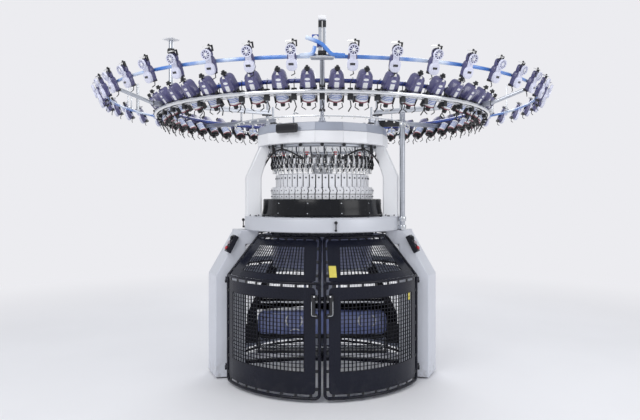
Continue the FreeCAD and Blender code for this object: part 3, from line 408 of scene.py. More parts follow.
class Finishes:
    """Every finish on the machine, named for where it is used."""

    white = Enamel("white_enamel", paint(212, 214, 223), 0.42, slot="white_enamel")
    leg_white = Enamel("leg_enamel", paint(211, 214, 223), 0.42, slot="white_enamel")
    band = Enamel("band_white", paint(244, 245, 248), 0.4)
    # The crown's slope is white enamel like its band; its grey is painted shade.
    slope = Enamel("slope_grey", paint(160, 166, 180), 0.34, dust=0.1)
    grey = Enamel("grey_enamel", paint(179, 184, 196), 0.38, slot="white_enamel")
    cast = Enamel("cast_grey", paint(128, 132, 142), 0.6, coat=0.0, peel=0.0005, slot="cast_grey")
    gate = Sheet("gate_sheet", paint(18, 21, 36), 0.26, scuffs=0.08)
    gate_tube = Sheet("gate_tube", paint(13, 15, 30), 0.2, scuffs=0.1, slot="blue_black_enamel")
    gate_mesh = Sheet("gate_mesh", paint(12, 14, 26), 0.35, scuffs=0.06)
    # Pale rear guards: painted light standing for the brightness seen behind the gates.
    rear_sheet = Sheet("rear_sheet", paint(176, 181, 194), 0.34, scuffs=0.05)
    rear_mesh = Sheet("rear_mesh", paint(206, 209, 216), 0.36, scuffs=0.05)
    skirt = Plastic(
        "skirt_gloss", paint(10, 12, 19), 0.24, coat=0.12, specular=0.25, slot="black_gloss"
    )
    black = Plastic("black_moulding", paint(26, 27, 32), 0.45, slot="black_plastic")
    black_gloss = Plastic("black_gloss", paint(14, 15, 19), 0.12, coat=1.0, slot="black_gloss")
    rubber = Plastic("black_rubber", paint(34, 34, 37), 0.75, grain=0.0003, slot="rubber_black")
    violet = Plastic("violet_moulding", paint(84, 82, 122), 0.3, coat=0.3, slot="violet_plastic")
    # Lighter copy of the violet plastic: a painted highlight on the flat front strip of the storage
    # hoods.
    violet_painted_highlight = Plastic(
        "violet_face", paint(108, 106, 150), 0.3, coat=0.3, slot="violet_plastic"
    )
    # Darker copy of the violet plastic: painted shade on the oval recesses and bosses of the
    # storage units and on the rims inside the roller wheels.
    violet_painted_shade = Plastic("violet_shade", paint(78, 76, 126), 0.35, coat=0.3, slot="violet_plastic")
    casing = Plastic("takedown_violet", paint(140, 152, 208), 0.18, coat=0.9, slot="violet_plastic")
    pale = Plastic("pale_moulding", paint(222, 224, 243), 0.3, coat=0.4, slot="pale_plastic")
    label = Plastic("label_white", paint(240, 241, 244), 0.5, slot="pale_plastic")
    ceramic = Plastic(
        "ceramic_white", paint(245, 244, 240), 0.12, coat=0.8, grain=0.00002, slot="pale_plastic"
    )
    window = Plastic(
        "display_black", paint(12, 13, 24), 0.08, coat=1.0, grain=0.00001, slot="black_gloss"
    )
    red = Plastic("red_moulding", paint(196, 28, 44), 0.3, coat=0.5, slot="red_plastic")
    rim = Plastic("drum_rim", paint(158, 92, 104), 0.3, coat=0.3, slot="red_plastic")
    bowl = Plastic("bowl_blue_grey", paint(158, 164, 198), 0.34, coat=0.4, slot="violet_plastic")
    button_grey = Plastic("button_grey", paint(176, 160, 168), 0.4)
    yarn_blue = Plastic("wound_blue", paint(96, 128, 202), 0.6, grain=0.0004, slot="blue_hose")
    yellow = Plastic("plain_yellow", paint(224, 210, SMOOTH), 0.5, slot="pale_plastic")
    # The pale colours of both hoses are painted highlights, laid in patches by Hose.
    hose = Hose("ring_hose", paint(72, 128, 210), 0.2, pale=paint(214, 228, 248), slot="blue_hose")
    hose_dark = Hose(
        "feeder_hose", paint(24, 44, 128), 0.2, pale=paint(48, 84, 176), slot="blue_hose"
    )
    chrome = Metal(
        "chrome", paint(226, 228, 232), 0.12, lines=(1.0, 1.0, 8.0), tarnish=0.1, slot="chrome"
    )
    bright = Metal("ground_steel", paint(214, 217, 222), 0.24, slot="bright_steel")
    # Near-white on steel: a painted highlight for the bright sheen of the cams, their caps and the
    # guide plates.
    plate = Enamel(
        "cam_plate", paint(240, 241, 245), 0.28, coat=0.5, dust=0.0, grime=0.0, slot="bright_steel"
    )
    aluminium = Metal(
        "anodised_aluminium", paint(198, 202, 210), 0.34, lines=(1.0, 1.0, 24.0), slot="aluminium"
    )
    dark = Metal("oiled_steel", paint(86, 88, SMOOTH), 0.36, tarnish=0.4, slot="dark_steel")


# ---------------------------------------------------------------- shapes

def polar(azimuth: float, radius: float, height: float = 0.0) -> Vector:
    """Point at an azimuth, a radius and a height."""
    angle = math.radians(azimuth)
    return Vector((radius * math.sin(angle), -radius * math.cos(angle), height))


def standing(azimuth: float, radius: float, height: float = 0.0) -> Matrix:
    """Upright frame round the machine: x to the right from outside, y inwards, z up."""
    return Matrix.Translation(polar(azimuth, radius, height)) @ Matrix.Rotation(
        math.radians(azimuth), 4, "Z"
    )


def leaning(radius: float, height: float, lean: float) -> Matrix:
    """Standing frame at azimuth 0 with the top leaning outwards."""
    return standing(0, radius, height) @ Matrix.Rotation(math.radians(lean), 4, "X")


def circle(radius: float, sides: int) -> list[Point2]:
    """Corners of a regular polygon."""
    return [
        (radius * math.cos(a), radius * math.sin(a))
        for a in (2 * math.pi * k / sides for k in range(sides))
    ]


def rounded(width: float, height: float, corner: float, steps: int = 3) -> list[Point2]:
    """Rectangle about the origin with rounded corners.

    Args:
        width: size across.
        height: size up.
        corner: radius.
        steps: chords in each corner.

    Returns:
        Its points, counter-clockwise.
    """
    points = []
    centres = ((1, 1), (-1, 1), (-1, -1), (1, -1))
    for quarter, (right, up) in enumerate(centres):
        for step in range(steps + 1):
            angle = math.pi / 2 * (quarter + step / steps)
            across = right * (width / 2 - corner) + corner * math.cos(angle)
            points.append((across, up * (height / 2 - corner) + corner * math.sin(angle)))
    return points


def oblong(left: float, right: float, low: float, high: float) -> list[Point2]:
    """Rectangle between two places across and two heights."""
    return [(left, low), (right, low), (right, high), (left, high)]


def evenly(start: float, stop: float, steps: int) -> list[float]:
    """Even steps from one value to another, with both ends."""
    return [start + (stop - start) * k / steps for k in range(steps + 1)]


def shifted(points: Iterable[Point2], across: float, up: float) -> list[Point2]:
    """Moves an outline."""
    return [(x + across, y + up) for x, y in points]


def shown(name: str, data: bpy.types.ID) -> bpy.types.Object:
    """Links a new object to the scene.

    Args:
        name: its name.
        data: what it shows.

    Returns:
        The object.
    """
    made = bpy.data.objects.new(name, data)
    bpy.context.scene.collection.objects.link(made)
    return made


class Blank:
    """Points and faces of a piece while it is being made."""

    def __init__(self) -> None:
        """Starts empty."""
        self.points: list[Vector] = []
        self.faces: list[tuple[int, ...]] = []

    def loft(self, rings: Sequence[Sequence[Vector]], endless: bool = False) -> "Blank":
        """Skins rings of points that follow each other.

        Args:
            rings: rings with the same number of points.
            endless: whether the last ring joins the first, instead of both being capped.

        Returns:
            The blank.
        """
        start = len(self.points)
        count = len(rings[0])
        for ring in rings:
            self.points += [Vector(point) for point in ring]
        spans = len(rings) if endless else len(rings) - 1
        for span in range(spans):
            near = start + span * count
            far = start + ((span + 1) % len(rings)) * count
            for index in range(count):
                after = (index + 1) % count
                self.faces.append((near + index, near + after, far + after, far + index))
        if not endless:
            self.faces.append(tuple(start + index for index in reversed(range(count))))
            self.faces.append(
                tuple(start + (len(rings) - 1) * count + index for index in range(count))
            )
        return self

    def plate(
        self, outline: Sequence[Point2], depth: float, at: Matrix, start: float = 0.0
    ) -> "Blank":
        """Plate with an (x, z) outline, from a start depth along y of a frame."""
        rings = [[at @ Vector((x, y, z)) for x, z in outline] for y in (start, start + depth)]
        return self.loft(rings)

    def slab(self, low: Colour, high: Colour, at: Matrix, bevel: float = 0.0) -> "Blank":
        """Box between two corners of a frame, with its upright edges bevelled.

        Args:
            low: lowest corner.
            high: highest corner.
            at: frame.
            bevel: size of the bevel, 0 for none.

        Returns:
            The blank.
        """
        (x0, y0, z0), (x1, y1, z1) = low, high
        if bevel:
            corners = [
                (x0 + bevel, y0), (x1 - bevel, y0), (x1, y0 + bevel), (x1, y1 - bevel),
                (x1 - bevel, y1), (x0 + bevel, y1), (x0, y1 - bevel), (x0, y0 + bevel)
            ]
        else:
            corners = oblong(x0, x1, y0, y1)
        return self.loft([[at @ Vector((x, y, z)) for x, y in corners] for z in (z0, z1)])

    def turn(self, profile: Sequence[Point2], sides: int, at: Matrix) -> "Blank":
        """Turned piece about z of a frame."""
        return self.loft([
            [at @ Vector((x, y, height)) for x, y in circle(max(radius, TIP_RADIUS), sides)]
            for radius, height in profile
        ])

    def screw(self, at: Matrix, radius: float, height: float) -> "Blank":
        """Socket screw head on a seat, with its top along z of a frame."""
        return self.turn([
            (radius, 0.0), (radius, height * 0.75), (radius * 0.8, height), (radius * 0.45, height),
            (radius * 0.45, height * 0.4), (0.0, height * 0.4)
        ], 8, at)

    def spokes(self, count: int, low: Colour, high: Colour, at: Matrix) -> "Blank":
        """The same box, turned in even steps about z of a frame.

        Args:
            count: how many.
            low: where it starts.
            high: where it ends.
            at: frame.

        Returns:
            The blank.
        """
        for index in range(count):
            self.slab(low, high, at @ Matrix.Rotation(2 * math.pi * index / count, 4, "Z"))
        return self

    def hoop(self, profile: Sequence[Point2], sides: int, at: Optional[Matrix] = None) -> "Blank":
        """Ring of a closed (radius, height) profile about z of a frame, or of the machine.

        Args:
            profile: closed (radius, height) profile.
            sides: facets.
            at: frame, the machine's by default.

        Returns:
            The blank.
        """
        place = at or Matrix.Identity(4)
        rings = []
        for corner in range(sides):
            azimuth = FULL_TURN * corner / sides
            rings.append([place @ polar(azimuth, radius, height) for radius, height in profile])
        return self.loft(rings, endless=True)

    def sector(self, profile: Sequence[Point2], azimuths: Sequence[float]) -> "Blank":
        """Part of a ring of a closed (radius, height) profile, through azimuths."""
        return self.loft(
            [[polar(azimuth, radius, height) for radius, height in profile] for azimuth in azimuths]
        )

    def tube(
        self, path: Sequence[Vector], radius: float, sides: int, endless: bool = False
    ) -> "Blank":
        """Round bar along a path.

        Args:
            path: points of its centre line.
            radius: half its thickness.
            sides: facets.
            endless: whether the path closes.

        Returns:
            The blank.
        """
        count = len(path)
        rings = []
        normal = None
        for index, point in enumerate(path):
            before = path[index - 1] if endless or index else point
            after = path[(index + 1) % count] if endless or index < count - 1 else point
            ahead = (Vector(after) - Vector(before)).normalized()
            if normal is None:
                guide = Vector((0, 0, 1)) if abs(ahead.z) < 0.9 else Vector((1, 0, 0))
                normal = ahead.cross(guide).normalized()
            normal = (normal - ahead * normal.dot(ahead)).normalized()
            side = ahead.cross(normal)
            rings.append([Vector(point) + normal * x + side * y for x, y in circle(radius, sides)])
        return self.loft(rings, endless)

    def cushion(
        self, outline: Sequence[Point2], depth: float, at: Matrix, start: float, edge: float
    ) -> "Blank":
        """Plate with an (x, z) outline whose front and rear edges are rounded over.

        Args:
            outline: corners.
            depth: thickness.
            at: frame.
            start: y of the front face.
            edge: how far the rounding reaches in.

        Returns:
            The blank.
        """
        middle = Vector((sum(x for x, _ in outline), sum(z for _, z in outline))) / len(outline)
        size = max(abs(x - middle.x) for x, _ in outline)
        stop = start + depth
        rings = []
        for inset, y in (
            (edge, start), (edge * 0.3, start + edge * 0.3), (0.0, start + edge),
            (0.0, stop - edge), (edge * 0.3, stop - edge * 0.3), (edge, stop)
        ):
            share = 1.0 - inset / size
            rings.append([at @ Vector((
                middle.x + (x - middle.x) * share, y, middle.y + (z - middle.y) * share
            )) for x, z in outline])
        return self.loft(rings)

    def piece(self, name: str, finish: Finish, crease: float = 35.0) -> bpy.types.Object:
        """Makes the object.

        Args:
            name: its name.
            finish: what it is made of.
            crease: angle in degrees over which an edge stays sharp.

        Returns:
            The object.
        """
        mesh = bpy.data.meshes.new(name)
        mesh.from_pydata(self.points, [], self.faces)
        work = bmesh.new()
        work.from_mesh(mesh)
        bmesh.ops.remove_doubles(work, verts=work.verts, dist=WELD)
        bmesh.ops.recalc_face_normals(work, faces=work.faces)
        for face in work.faces:
            face.smooth = True
        work.to_mesh(mesh)
        work.free()
        mesh.set_sharp_from_angle(angle=math.radians(crease))
        mesh.materials.append(finish.material())
        return shown(name, mesh)

    def fit(
        self, name: str, finish: Finish, *nodes: str, body: str = BODY, slot: Optional[str] = None,
        crease: float = 35.0
    ) -> bpy.types.Object:
        """Makes the object and settles it."""
        return settle(self.piece(name, finish, crease), body, slot or finish.slot, *nodes)


def arc_path(points: Sequence[Vector], steps: int = 6) -> list[Vector]:
    """Smooth line through points.

    Args:
        points: what it passes.
        steps: chords from one to the next.

    Returns:
        Its points.
    """
    ends = [points[0]] + list(points) + [points[-1]]
    line = []
    for a, b, c, d in zip(ends, ends[1:], ends[2:], ends[3:]):
        for step in range(steps):
            t = step / steps
            square, cube = 2 * a - 5 * b + 4 * c - d, 3 * b - a - 3 * c + d
            line.append(0.5 * (2 * b + (c - a) * t + square * t ** 2 + cube * t ** 3))
    return line + [Vector(points[-1])]


# ---------------------------------------------------------------- geometry nodes

class Tree(NodeTree):
    """Geometry node tree with named inputs, built once and used by a modifier."""

    def __init__(self, name: str, inputs: dict[str, str]) -> None:
        """Makes the tree.

        Args:
            name: its name.
            inputs: socket type by input name, after the geometry.
        """
        self.tree = bpy.data.node_groups.new(name, "GeometryNodeTree")
        face = self.tree.interface
        face.new_socket("Geometry", in_out="INPUT", socket_type="NodeSocketGeometry")
        self.sockets = {}
        for label, kind in inputs.items():
            self.sockets[label] = face.new_socket(
                label, in_out="INPUT", socket_type=kind
            ).identifier
        face.new_socket("Geometry", in_out="OUTPUT", socket_type="NodeSocketGeometry")
        self.source = self.node("NodeGroupInput")

    def math(self, operation: str, first: object, second: object) -> bpy.types.NodeSocket:
        """Adds a Math node for two values or links."""
        return self.node(
            "ShaderNodeMath", {"operation": operation}, {0: first, 1: second}
        ).outputs[0]

    def end(self, geometry: bpy.types.NodeSocket) -> None:
        """Realizes what was made and gives it the Finish input's material.

        Args:
            geometry: link of what was made.
        """
        real = self.node("GeometryNodeRealizeInstances", {}, {"Geometry": geometry})
        dressed = self.node("GeometryNodeSetMaterial", {}, {
            "Geometry": real.outputs[0], "Material": self.source.outputs["Finish"]
        })
        self.node("NodeGroupOutput", {}, {"Geometry": dressed.outputs[0]})

    def run(self, target: bpy.types.Object, finish: Finish, **values: object) -> bpy.types.Object:
        """Runs the tree on an object and keeps the result as its plain mesh.

        Args:
            target: the object.
            finish: material of the result.
            values: the tree's inputs, by name with _ for a space.

        Returns:
            The object.
        """
        modifier = target.modifiers.new(self.tree.name, "NODES")
        modifier.node_group = self.tree
        modifier[self.sockets["Finish"]] = finish.material()
        for label, value in values.items():
            modifier[self.sockets[label.replace("_", " ")]] = value
        graph = bpy.context.evaluated_depsgraph_get()
        mesh = bpy.data.meshes.new_from_object(target.evaluated_get(graph))
        target.modifiers.remove(modifier)
        old = target.data
        target.data = mesh
        mesh.name = target.name
        bpy.data.meshes.remove(old)
        return target


def ring_tree() -> Tree:
    """Repeats a piece round the machine, in sectors, with a little random lean if asked.

    Returns:
        The tree.
    """
    made = Tree("round_the_machine", {
        "Count": "NodeSocketInt", "Per Sector": "NodeSocketInt", "Start": "NodeSocketFloat",
        "Pitch": "NodeSocketFloat", "Sector Pitch": "NodeSocketFloat", "Jitter": "NodeSocketFloat",
        "Seed": "NodeSocketInt", "Finish": "NodeSocketMaterial"
    })
    given = made.source.outputs
    points = made.node("GeometryNodePoints", {}, {"Count": given["Count"]})
    index = made.node("GeometryNodeInputIndex").outputs[0]
    sector = made.math("FLOOR", made.math("DIVIDE", index, given["Per Sector"]), 0.0)
    place = made.math("MODULO", index, given["Per Sector"])
    turn = made.math(
        "ADD", made.math("MULTIPLY", sector, given["Sector Pitch"]),
        made.math("MULTIPLY", place, given["Pitch"])
    )
    chance = made.node(
        "FunctionNodeRandomValue", {"data_type": "FLOAT"}, {2: -1.0, 3: 1.0, "Seed": given["Seed"]}
    )
    stray = made.math("MULTIPLY", chance.outputs[1], given["Jitter"])
    angle = made.math("ADD", made.math("ADD", turn, given["Start"]), stray)
    euler = made.node("ShaderNodeCombineXYZ", {}, {"Z": angle})
    spin = made.node("FunctionNodeEulerToRotation", {}, {0: euler.outputs[0]})
    copies = made.node("GeometryNodeInstanceOnPoints", {}, {
        "Points": points.outputs[0], "Instance": given["Geometry"], "Rotation": spin.outputs[0]
    })
    made.end(copies.outputs[0])
    return made


def wire_tree() -> Tree:
    """Turns an object's edges into flat bars.

    Returns:
        The tree.
    """
    made = Tree("bars_on_edges", {
        "Width": "NodeSocketFloat", "Depth": "NodeSocketFloat", "Finish": "NodeSocketMaterial"
    })
    given = made.source.outputs
    lines = made.node("GeometryNodeMeshToCurve", {}, {"Mesh": given["Geometry"]})
    profile = made.node(
        "GeometryNodeCurvePrimitiveQuadrilateral", {},
        {"Width": given["Width"], "Height": given["Depth"]}
    )
    bars = made.node("GeometryNodeCurveToMesh", {}, {
        "Curve": lines.outputs[0], "Profile Curve": profile.outputs[0], "Fill Caps": True
    })
    made.end(bars.outputs[0])
    return made


RING_TREE = ring_tree()
WIRE_TREE = wire_tree()


@dataclass(frozen=True)
class Round:
    """How a piece made at azimuth 0 stands round the machine."""

    count: int
    start: float = 0.0
    pitch: Optional[float] = None
    per_sector: Optional[int] = None
    sector_pitch: float = 0.0
    jitter: float = 0.0
    seed: int = 3

    def repeat(self, piece: bpy.types.Object, finish: Finish) -> bpy.types.Object:
        """Copies the piece to every place."""
        pitch = FULL_TURN / self.count if self.pitch is None else self.pitch
        return RING_TREE.run(
            piece, finish, Count=self.count, Per_Sector=self.per_sector or self.count,
            Start=math.radians(self.start), Pitch=math.radians(pitch),
            Sector_Pitch=math.radians(self.sector_pitch), Jitter=math.radians(self.jitter),
            Seed=self.seed
        )

    def stand(
        self, blank: Blank, name: str, finish: Finish, *nodes: str, body: str = BODY,
        slot: Optional[str] = None
    ) -> bpy.types.Object:
        """Makes a piece, copies it to every place and settles it."""
        piece = self.repeat(blank.piece(name, finish), finish)
        return settle(piece, body, slot or finish.slot, *nodes)


# ---------------------------------------------------------------- placing pieces

def moved(at: Matrix, x: float, y: float, z: float) -> Matrix:
    """A frame moved along its own axes."""
    return at @ Matrix.Translation((x, y, z))


def facing(at: Matrix) -> Matrix:
    """A frame turned so that its z looks outwards."""
    return at @ Matrix.Rotation(math.pi / 2, 4, "X")


def through(at: Matrix, *points: Colour) -> list[Vector]:
    """Points given in a frame."""
    return [at @ Vector(point) for point in points]


def settle(piece: bpy.types.Object, body: str, slot: str, *nodes: str) -> bpy.types.Object:
    """Lets a piece ride on a body and hides the CAD nodes that it replaces.

    Args:
        piece: the object.
        body: CAD body.
        slot: material slot of the record; not used.
        nodes: CAD nodes that it replaces.

    Returns:
        The object.
    """
    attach(piece, body)
    if nodes:
        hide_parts(*nodes)
    log.info("%s: %d faces on %s", piece.name, len(piece.data.polygons), body)
    return piece


def soften(
    node: str, name: str, finish: Finish, width: float, segments: int = 2, over: float = 25.0,
    body: str = BODY, slot: Optional[str] = None
) -> bpy.types.Object:
    """Stands a copy of a CAD node with its sharp edges rounded in for the node.

    Args:
        node: the CAD node.
        name: the copy's name.
        finish: what it is made of.
        width: size of the rounding.
        segments: facets across it.
        over: angle in degrees over which an edge is rounded.
        body: CAD body that it rides on.
        slot: its material slot, if it isn't the finish's own.

    Returns:
        The new object.
    """
    work = bmesh.new()
    work.from_mesh(frame["nodes"][node].data)
    bmesh.ops.remove_doubles(work, verts=work.verts, dist=WELD / 2)
    bmesh.ops.dissolve_limit(
        work, angle_limit=FLAT_WITHIN, verts=work.verts, edges=work.edges
    )
    for face in work.faces:
        face.smooth = False
    limit = math.radians(over)
    sharp = [
        edge for edge in work.edges if len(edge.link_faces) == 2 and edge.calc_face_angle() > limit
    ]
    done = bmesh.ops.bevel(
        work, geom=sharp, offset=width, offset_type="OFFSET", segments=segments, profile=0.5,
        affect="EDGES", clamp_overlap=True
    )
    for face in done["faces"]:
        face.smooth = True
    mesh = bpy.data.meshes.new(name)
    work.to_mesh(mesh)
    work.free()
    mesh.materials.append(finish.material())
    return settle(shown(name, mesh), body, slot or finish.slot, node)


def reach(node: str) -> float:
    """Largest distance of a CAD node's corners from the machine's axis."""
    return max(math.hypot(v.co.x, v.co.y) for v in frame["nodes"][node].data.vertices)


def span(node: str) -> Point2:
    """Lowest and highest height of a CAD node."""
    low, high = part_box(node)
    return low.z, high.z


@dataclass(frozen=True)
class Plan:
    """Heights and radii that the sub-assemblies share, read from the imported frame, in metres."""

    bed: Point2
    bed_radius: float
    crown: Point2
    crown_radius: float
    inner_ring: Point2
    inner_radius: float
    outer_ring: Point2
    outer_radius: float
    skirt: Point2
    cams: Point2
    ring_section: float = 0.028
    outer_section: float = 0.024
    feeders: int = 48
    leg_azimuth: float = 78.8

    @classmethod
    def measured(cls) -> "Plan":
        """Reads the frame.

        Returns:
            The plan.
        """
        inner = reach("inner_ring") * math.cos(math.pi / INNER_RING_SIDES)
        outer = reach("outer_ring") * math.cos(math.pi / OUTER_RING_SIDES)
        return cls(
            bed=span("bed_ring"), bed_radius=reach("bed_ring"),
            crown=span("upper_ring"), crown_radius=reach("upper_ring"),
            inner_ring=span("inner_ring"), inner_radius=inner - cls.ring_section / 2,
            outer_ring=span("outer_ring"), outer_radius=outer - cls.outer_section / 2,
            skirt=span("cylinder_skirt"), cams=span("cam_segments"),
        )


PLAN = Plan.measured()
LEG_AZIMUTHS = {"left": -PLAN.leg_azimuth, "right": PLAN.leg_azimuth, "rear": 180.0}
ARM_ROUND = Round(6)
HALF_PITCH = FULL_TURN / PLAN.feeders / 2
FEEDER_ROUND = Round(PLAN.feeders, start=HALF_PITCH)
ROLLER_ROUND = Round(45, start=5.4, pitch=7.8, per_sector=15, sector_pitch=120.0)


def outward(azimuth: float, radius: float, height: float) -> Matrix:
    """Frame on a wall of the machine whose z looks outwards."""
    return standing(azimuth, radius, height) @ Matrix.Rotation(math.pi / 2, 4, "X")


# ---------------------------------------------------------------- legs and bed

@dataclass
class Legs:
    """Leg casings, their pads, the base cross and the brackets of the gates' hinges."""

    edge: float = 0.007

    def build(self) -> None:
        """Makes the pieces."""
        for side in LEG_AZIMUTHS:
            node = f"leg_{side}"
            soften(node, f"{node}_casing", Finishes.leg_white, self.edge, 3)
        soften("levelling_pads", "levelling_pad_blocks", Finishes.rubber, 0.003)
        soften("base_cross", "base_cross_casting", Finishes.gate_tube, 0.004, slot="cast_grey")
        soften("hinge_brackets", "hinge_bracket_plates", Finishes.gate_tube, 0.002)


@dataclass
class Bed:
    """The wide ring over the legs and the screws on its top."""

    rounding: float = 0.006
    lip: float = 0.01
    bore: float = 0.402
    sides: int = 144
    screw_circle: float = 0.595
    screws: Round = field(default_factory=lambda: Round(24, start=7.5))

    def build(self) -> None:
        """Makes the pieces."""
        low, high = PLAN.bed
        r = PLAN.bed_radius
        e = self.rounding
        shell = Blank().hoop([
            (self.bore, low + 0.002), (r - 0.03, low + 0.002), (r - 0.03, low), (r - e, low),
            (r, low + e), (r, high - e - self.lip), (r - 0.0015, high - self.lip - 0.002),
            (r, high - self.lip), (r, high - e * 0.6), (r - e * 0.6, high), (self.bore, high)
        ], self.sides)
        shell.fit("bed_ring_casting", Finishes.grey, "bed_ring")
        head = Blank().screw(Matrix.Translation(polar(0, self.screw_circle, high)), 0.011, 0.008)
        self.screws.stand(head, "bed_screws", Finishes.dark)


@dataclass
class Uprights:
    """The three box columns between the bed and the crown, with their foot flanges."""

    edge: float = 0.009
    inner: float = 0.535
    outer: float = 0.66
    width: float = 0.2
    foot: float = 0.018

    def build(self) -> None:
        """Makes the pieces."""
        flanges = Blank()
        screws = Blank()
        top = PLAN.bed[1]
        for side, azimuth in LEG_AZIMUTHS.items():
            node = f"upright_{side}"
            soften(node, f"{node}_column", Finishes.white, self.edge, 3)
            at = standing(azimuth, self.outer, top)
            low = (-self.width / 2 - 0.006, -0.004, 0.0)
            high = (self.width / 2 + 0.006, self.outer - self.inner + 0.006, self.foot)
            flanges.slab(low, high, at, 0.008)
            for across in (-1, 1):
                for along in (0.03, 0.1):
                    seat = moved(at, across * self.width * 0.5, along, 0.0)
                    face = moved(seat, across * 0.006, 0.0, self.foot / 2)
                    screws.screw(face @ Matrix.Rotation(across * math.pi / 2, 4, "Y"), 0.006, 0.004)
        flanges.fit("upright_flanges", Finishes.white)
        screws.fit("upright_screws", Finishes.dark)


# ---------------------------------------------------------------- knitting head

@dataclass
class Crown:
    """Sixteen-sided cover of the upper ring, its core and the ring of knobs below it."""

    turn: float = -5.6
    band: float = 0.093
    bore: float = 0.42
    top_radius: float = 0.55
    gap: float = 0.14
    skin: float = 0.006
    knobs: Round = field(default_factory=lambda: Round(18))
    knob_radius: float = 0.015
    plate_bore: float = 0.425
    plate_outer: float = 0.486
    plate_thickness: float = 0.022

    def build(self) -> None:
        """Makes the pieces."""
        low, high = PLAN.crown
        r = PLAN.crown_radius
        e = 0.003
        seam = low + self.band
        wall = [
            (self.bore, low), (r - e, low), (r, low + e), (r, seam - e), (r - e, seam - e / 4),
            (self.bore, seam - e / 4)
        ]
        roof = [
            (self.bore, seam + e / 4), (r - e * 1.4, seam + e / 4), (r - e, seam + e),
            (self.top_radius + e / 3, high - e), (self.top_radius - e, high), (self.bore, high)
        ]
        step = FULL_TURN / CROWN_SIDES
        # The slope panels' grey finish is painted shade on the white enamel cover.
        for label, profile, finish in (
            ("crown_band", wall, Finishes.band), ("crown_slope", roof, Finishes.slope)
        ):
            panels = Blank()
            for side in range(CROWN_SIDES):
                start = self.turn + step * side
                panels.sector(profile, (start + self.gap / 2, start + step - self.gap / 2))
            panels.fit(label, finish, "upper_ring", crease=20, slot="white_enamel")
        inside = [
            (self.bore + 0.004, low + 0.004), (r - self.skin * 3.2, low + 0.004),
            (r - self.skin * 3.2, low + self.band),
            (self.top_radius - self.skin * 3.2, high - 0.004), (self.bore + 0.004, high - 0.004)
        ]
        Blank().hoop(inside, 64).fit("crown_core", Finishes.dark)

        under = low - self.plate_thickness
        plate = Blank().hoop([
            (self.plate_bore, under), (self.plate_outer - 0.004, under),
            (self.plate_outer, under + 0.004),
            (self.plate_outer, low - 0.004), (self.plate_bore, low - 0.004)
        ], SMOOTH)
        plate.fit("crown_guide_ring", Finishes.aluminium)
        at = outward(0, self.plate_outer, under + self.plate_thickness * 0.45)
        knob = Blank().turn([
            (0.009, -0.004), (0.009, 0.008), (self.knob_radius, 0.01), (self.knob_radius, 0.02),
            (0.011, 0.024), (0.0, 0.024)
        ], 12, at)
        self.knobs.stand(knob, "crown_knobs", Finishes.black)
        rim = Blank().turn([
            (self.knob_radius + 0.002, 0.004), (self.knob_radius + 0.002, 0.012),
            (self.knob_radius, 0.013), (self.knob_radius, 0.004)
        ], 12, at)
        self.knobs.stand(rim, "crown_knob_rims", Finishes.bright)


@dataclass
class Skirt:
    """Glossy black cone over the bed in twelve plates, with a lip at its foot."""

    plates: int = 12
    first: float = 15.0
    chords: int = 6
    radius: float = 0.524
    top_radius: float = 0.51
    bore: float = 0.388
    gap: float = 0.18
    lip: float = 0.012

    def build(self) -> None:
        """Makes the pieces."""
        low, high = PLAN.skirt
        lip = self.lip
        profile = [
            (self.bore + 0.03, low), (self.radius + 0.004, low), (self.radius + 0.004, low + lip),
            (self.radius - 0.003, low + lip + 0.004),
            (self.top_radius + 0.002, low + (high - low) * 0.46), (self.top_radius, high - 0.009),
            (self.top_radius - 0.003, high - 0.003), (self.top_radius - 0.01, high),
            (self.bore + 0.03, high)
        ]
        step = FULL_TURN / self.plates
        shells = Blank()
        for index in range(self.plates):
            start = self.first + step * index + self.gap / 2
            stop = self.first + step * (index + 1) - self.gap / 2
            shells.sector(profile, evenly(start, stop, self.chords))
        shells.fit("skirt_plates", Finishes.skirt, "cylinder_skirt", crease=30)
        core = [
            (self.bore, low + 0.002), (self.radius - 0.02, low + 0.002),
            (self.top_radius - 0.05, high - 0.002), (self.bore, high - 0.002)
        ]
        Blank().hoop(core, SMOOTH).fit("skirt_core", Finishes.rubber)
        slope = math.degrees(math.atan2(self.radius - self.top_radius, high - low))
        screws = Blank()
        for height, radius in ((0.11, 0.5105), (0.03, 0.519)):
            seat = outward(0, radius, low + height) @ Matrix.Rotation(-math.radians(slope), 4, "X")
            screws.screw(seat, 0.005, 0.004)
        around = Round(self.plates, start=self.first + 2.2)
        around.stand(screws, "skirt_screws", Finishes.bright)


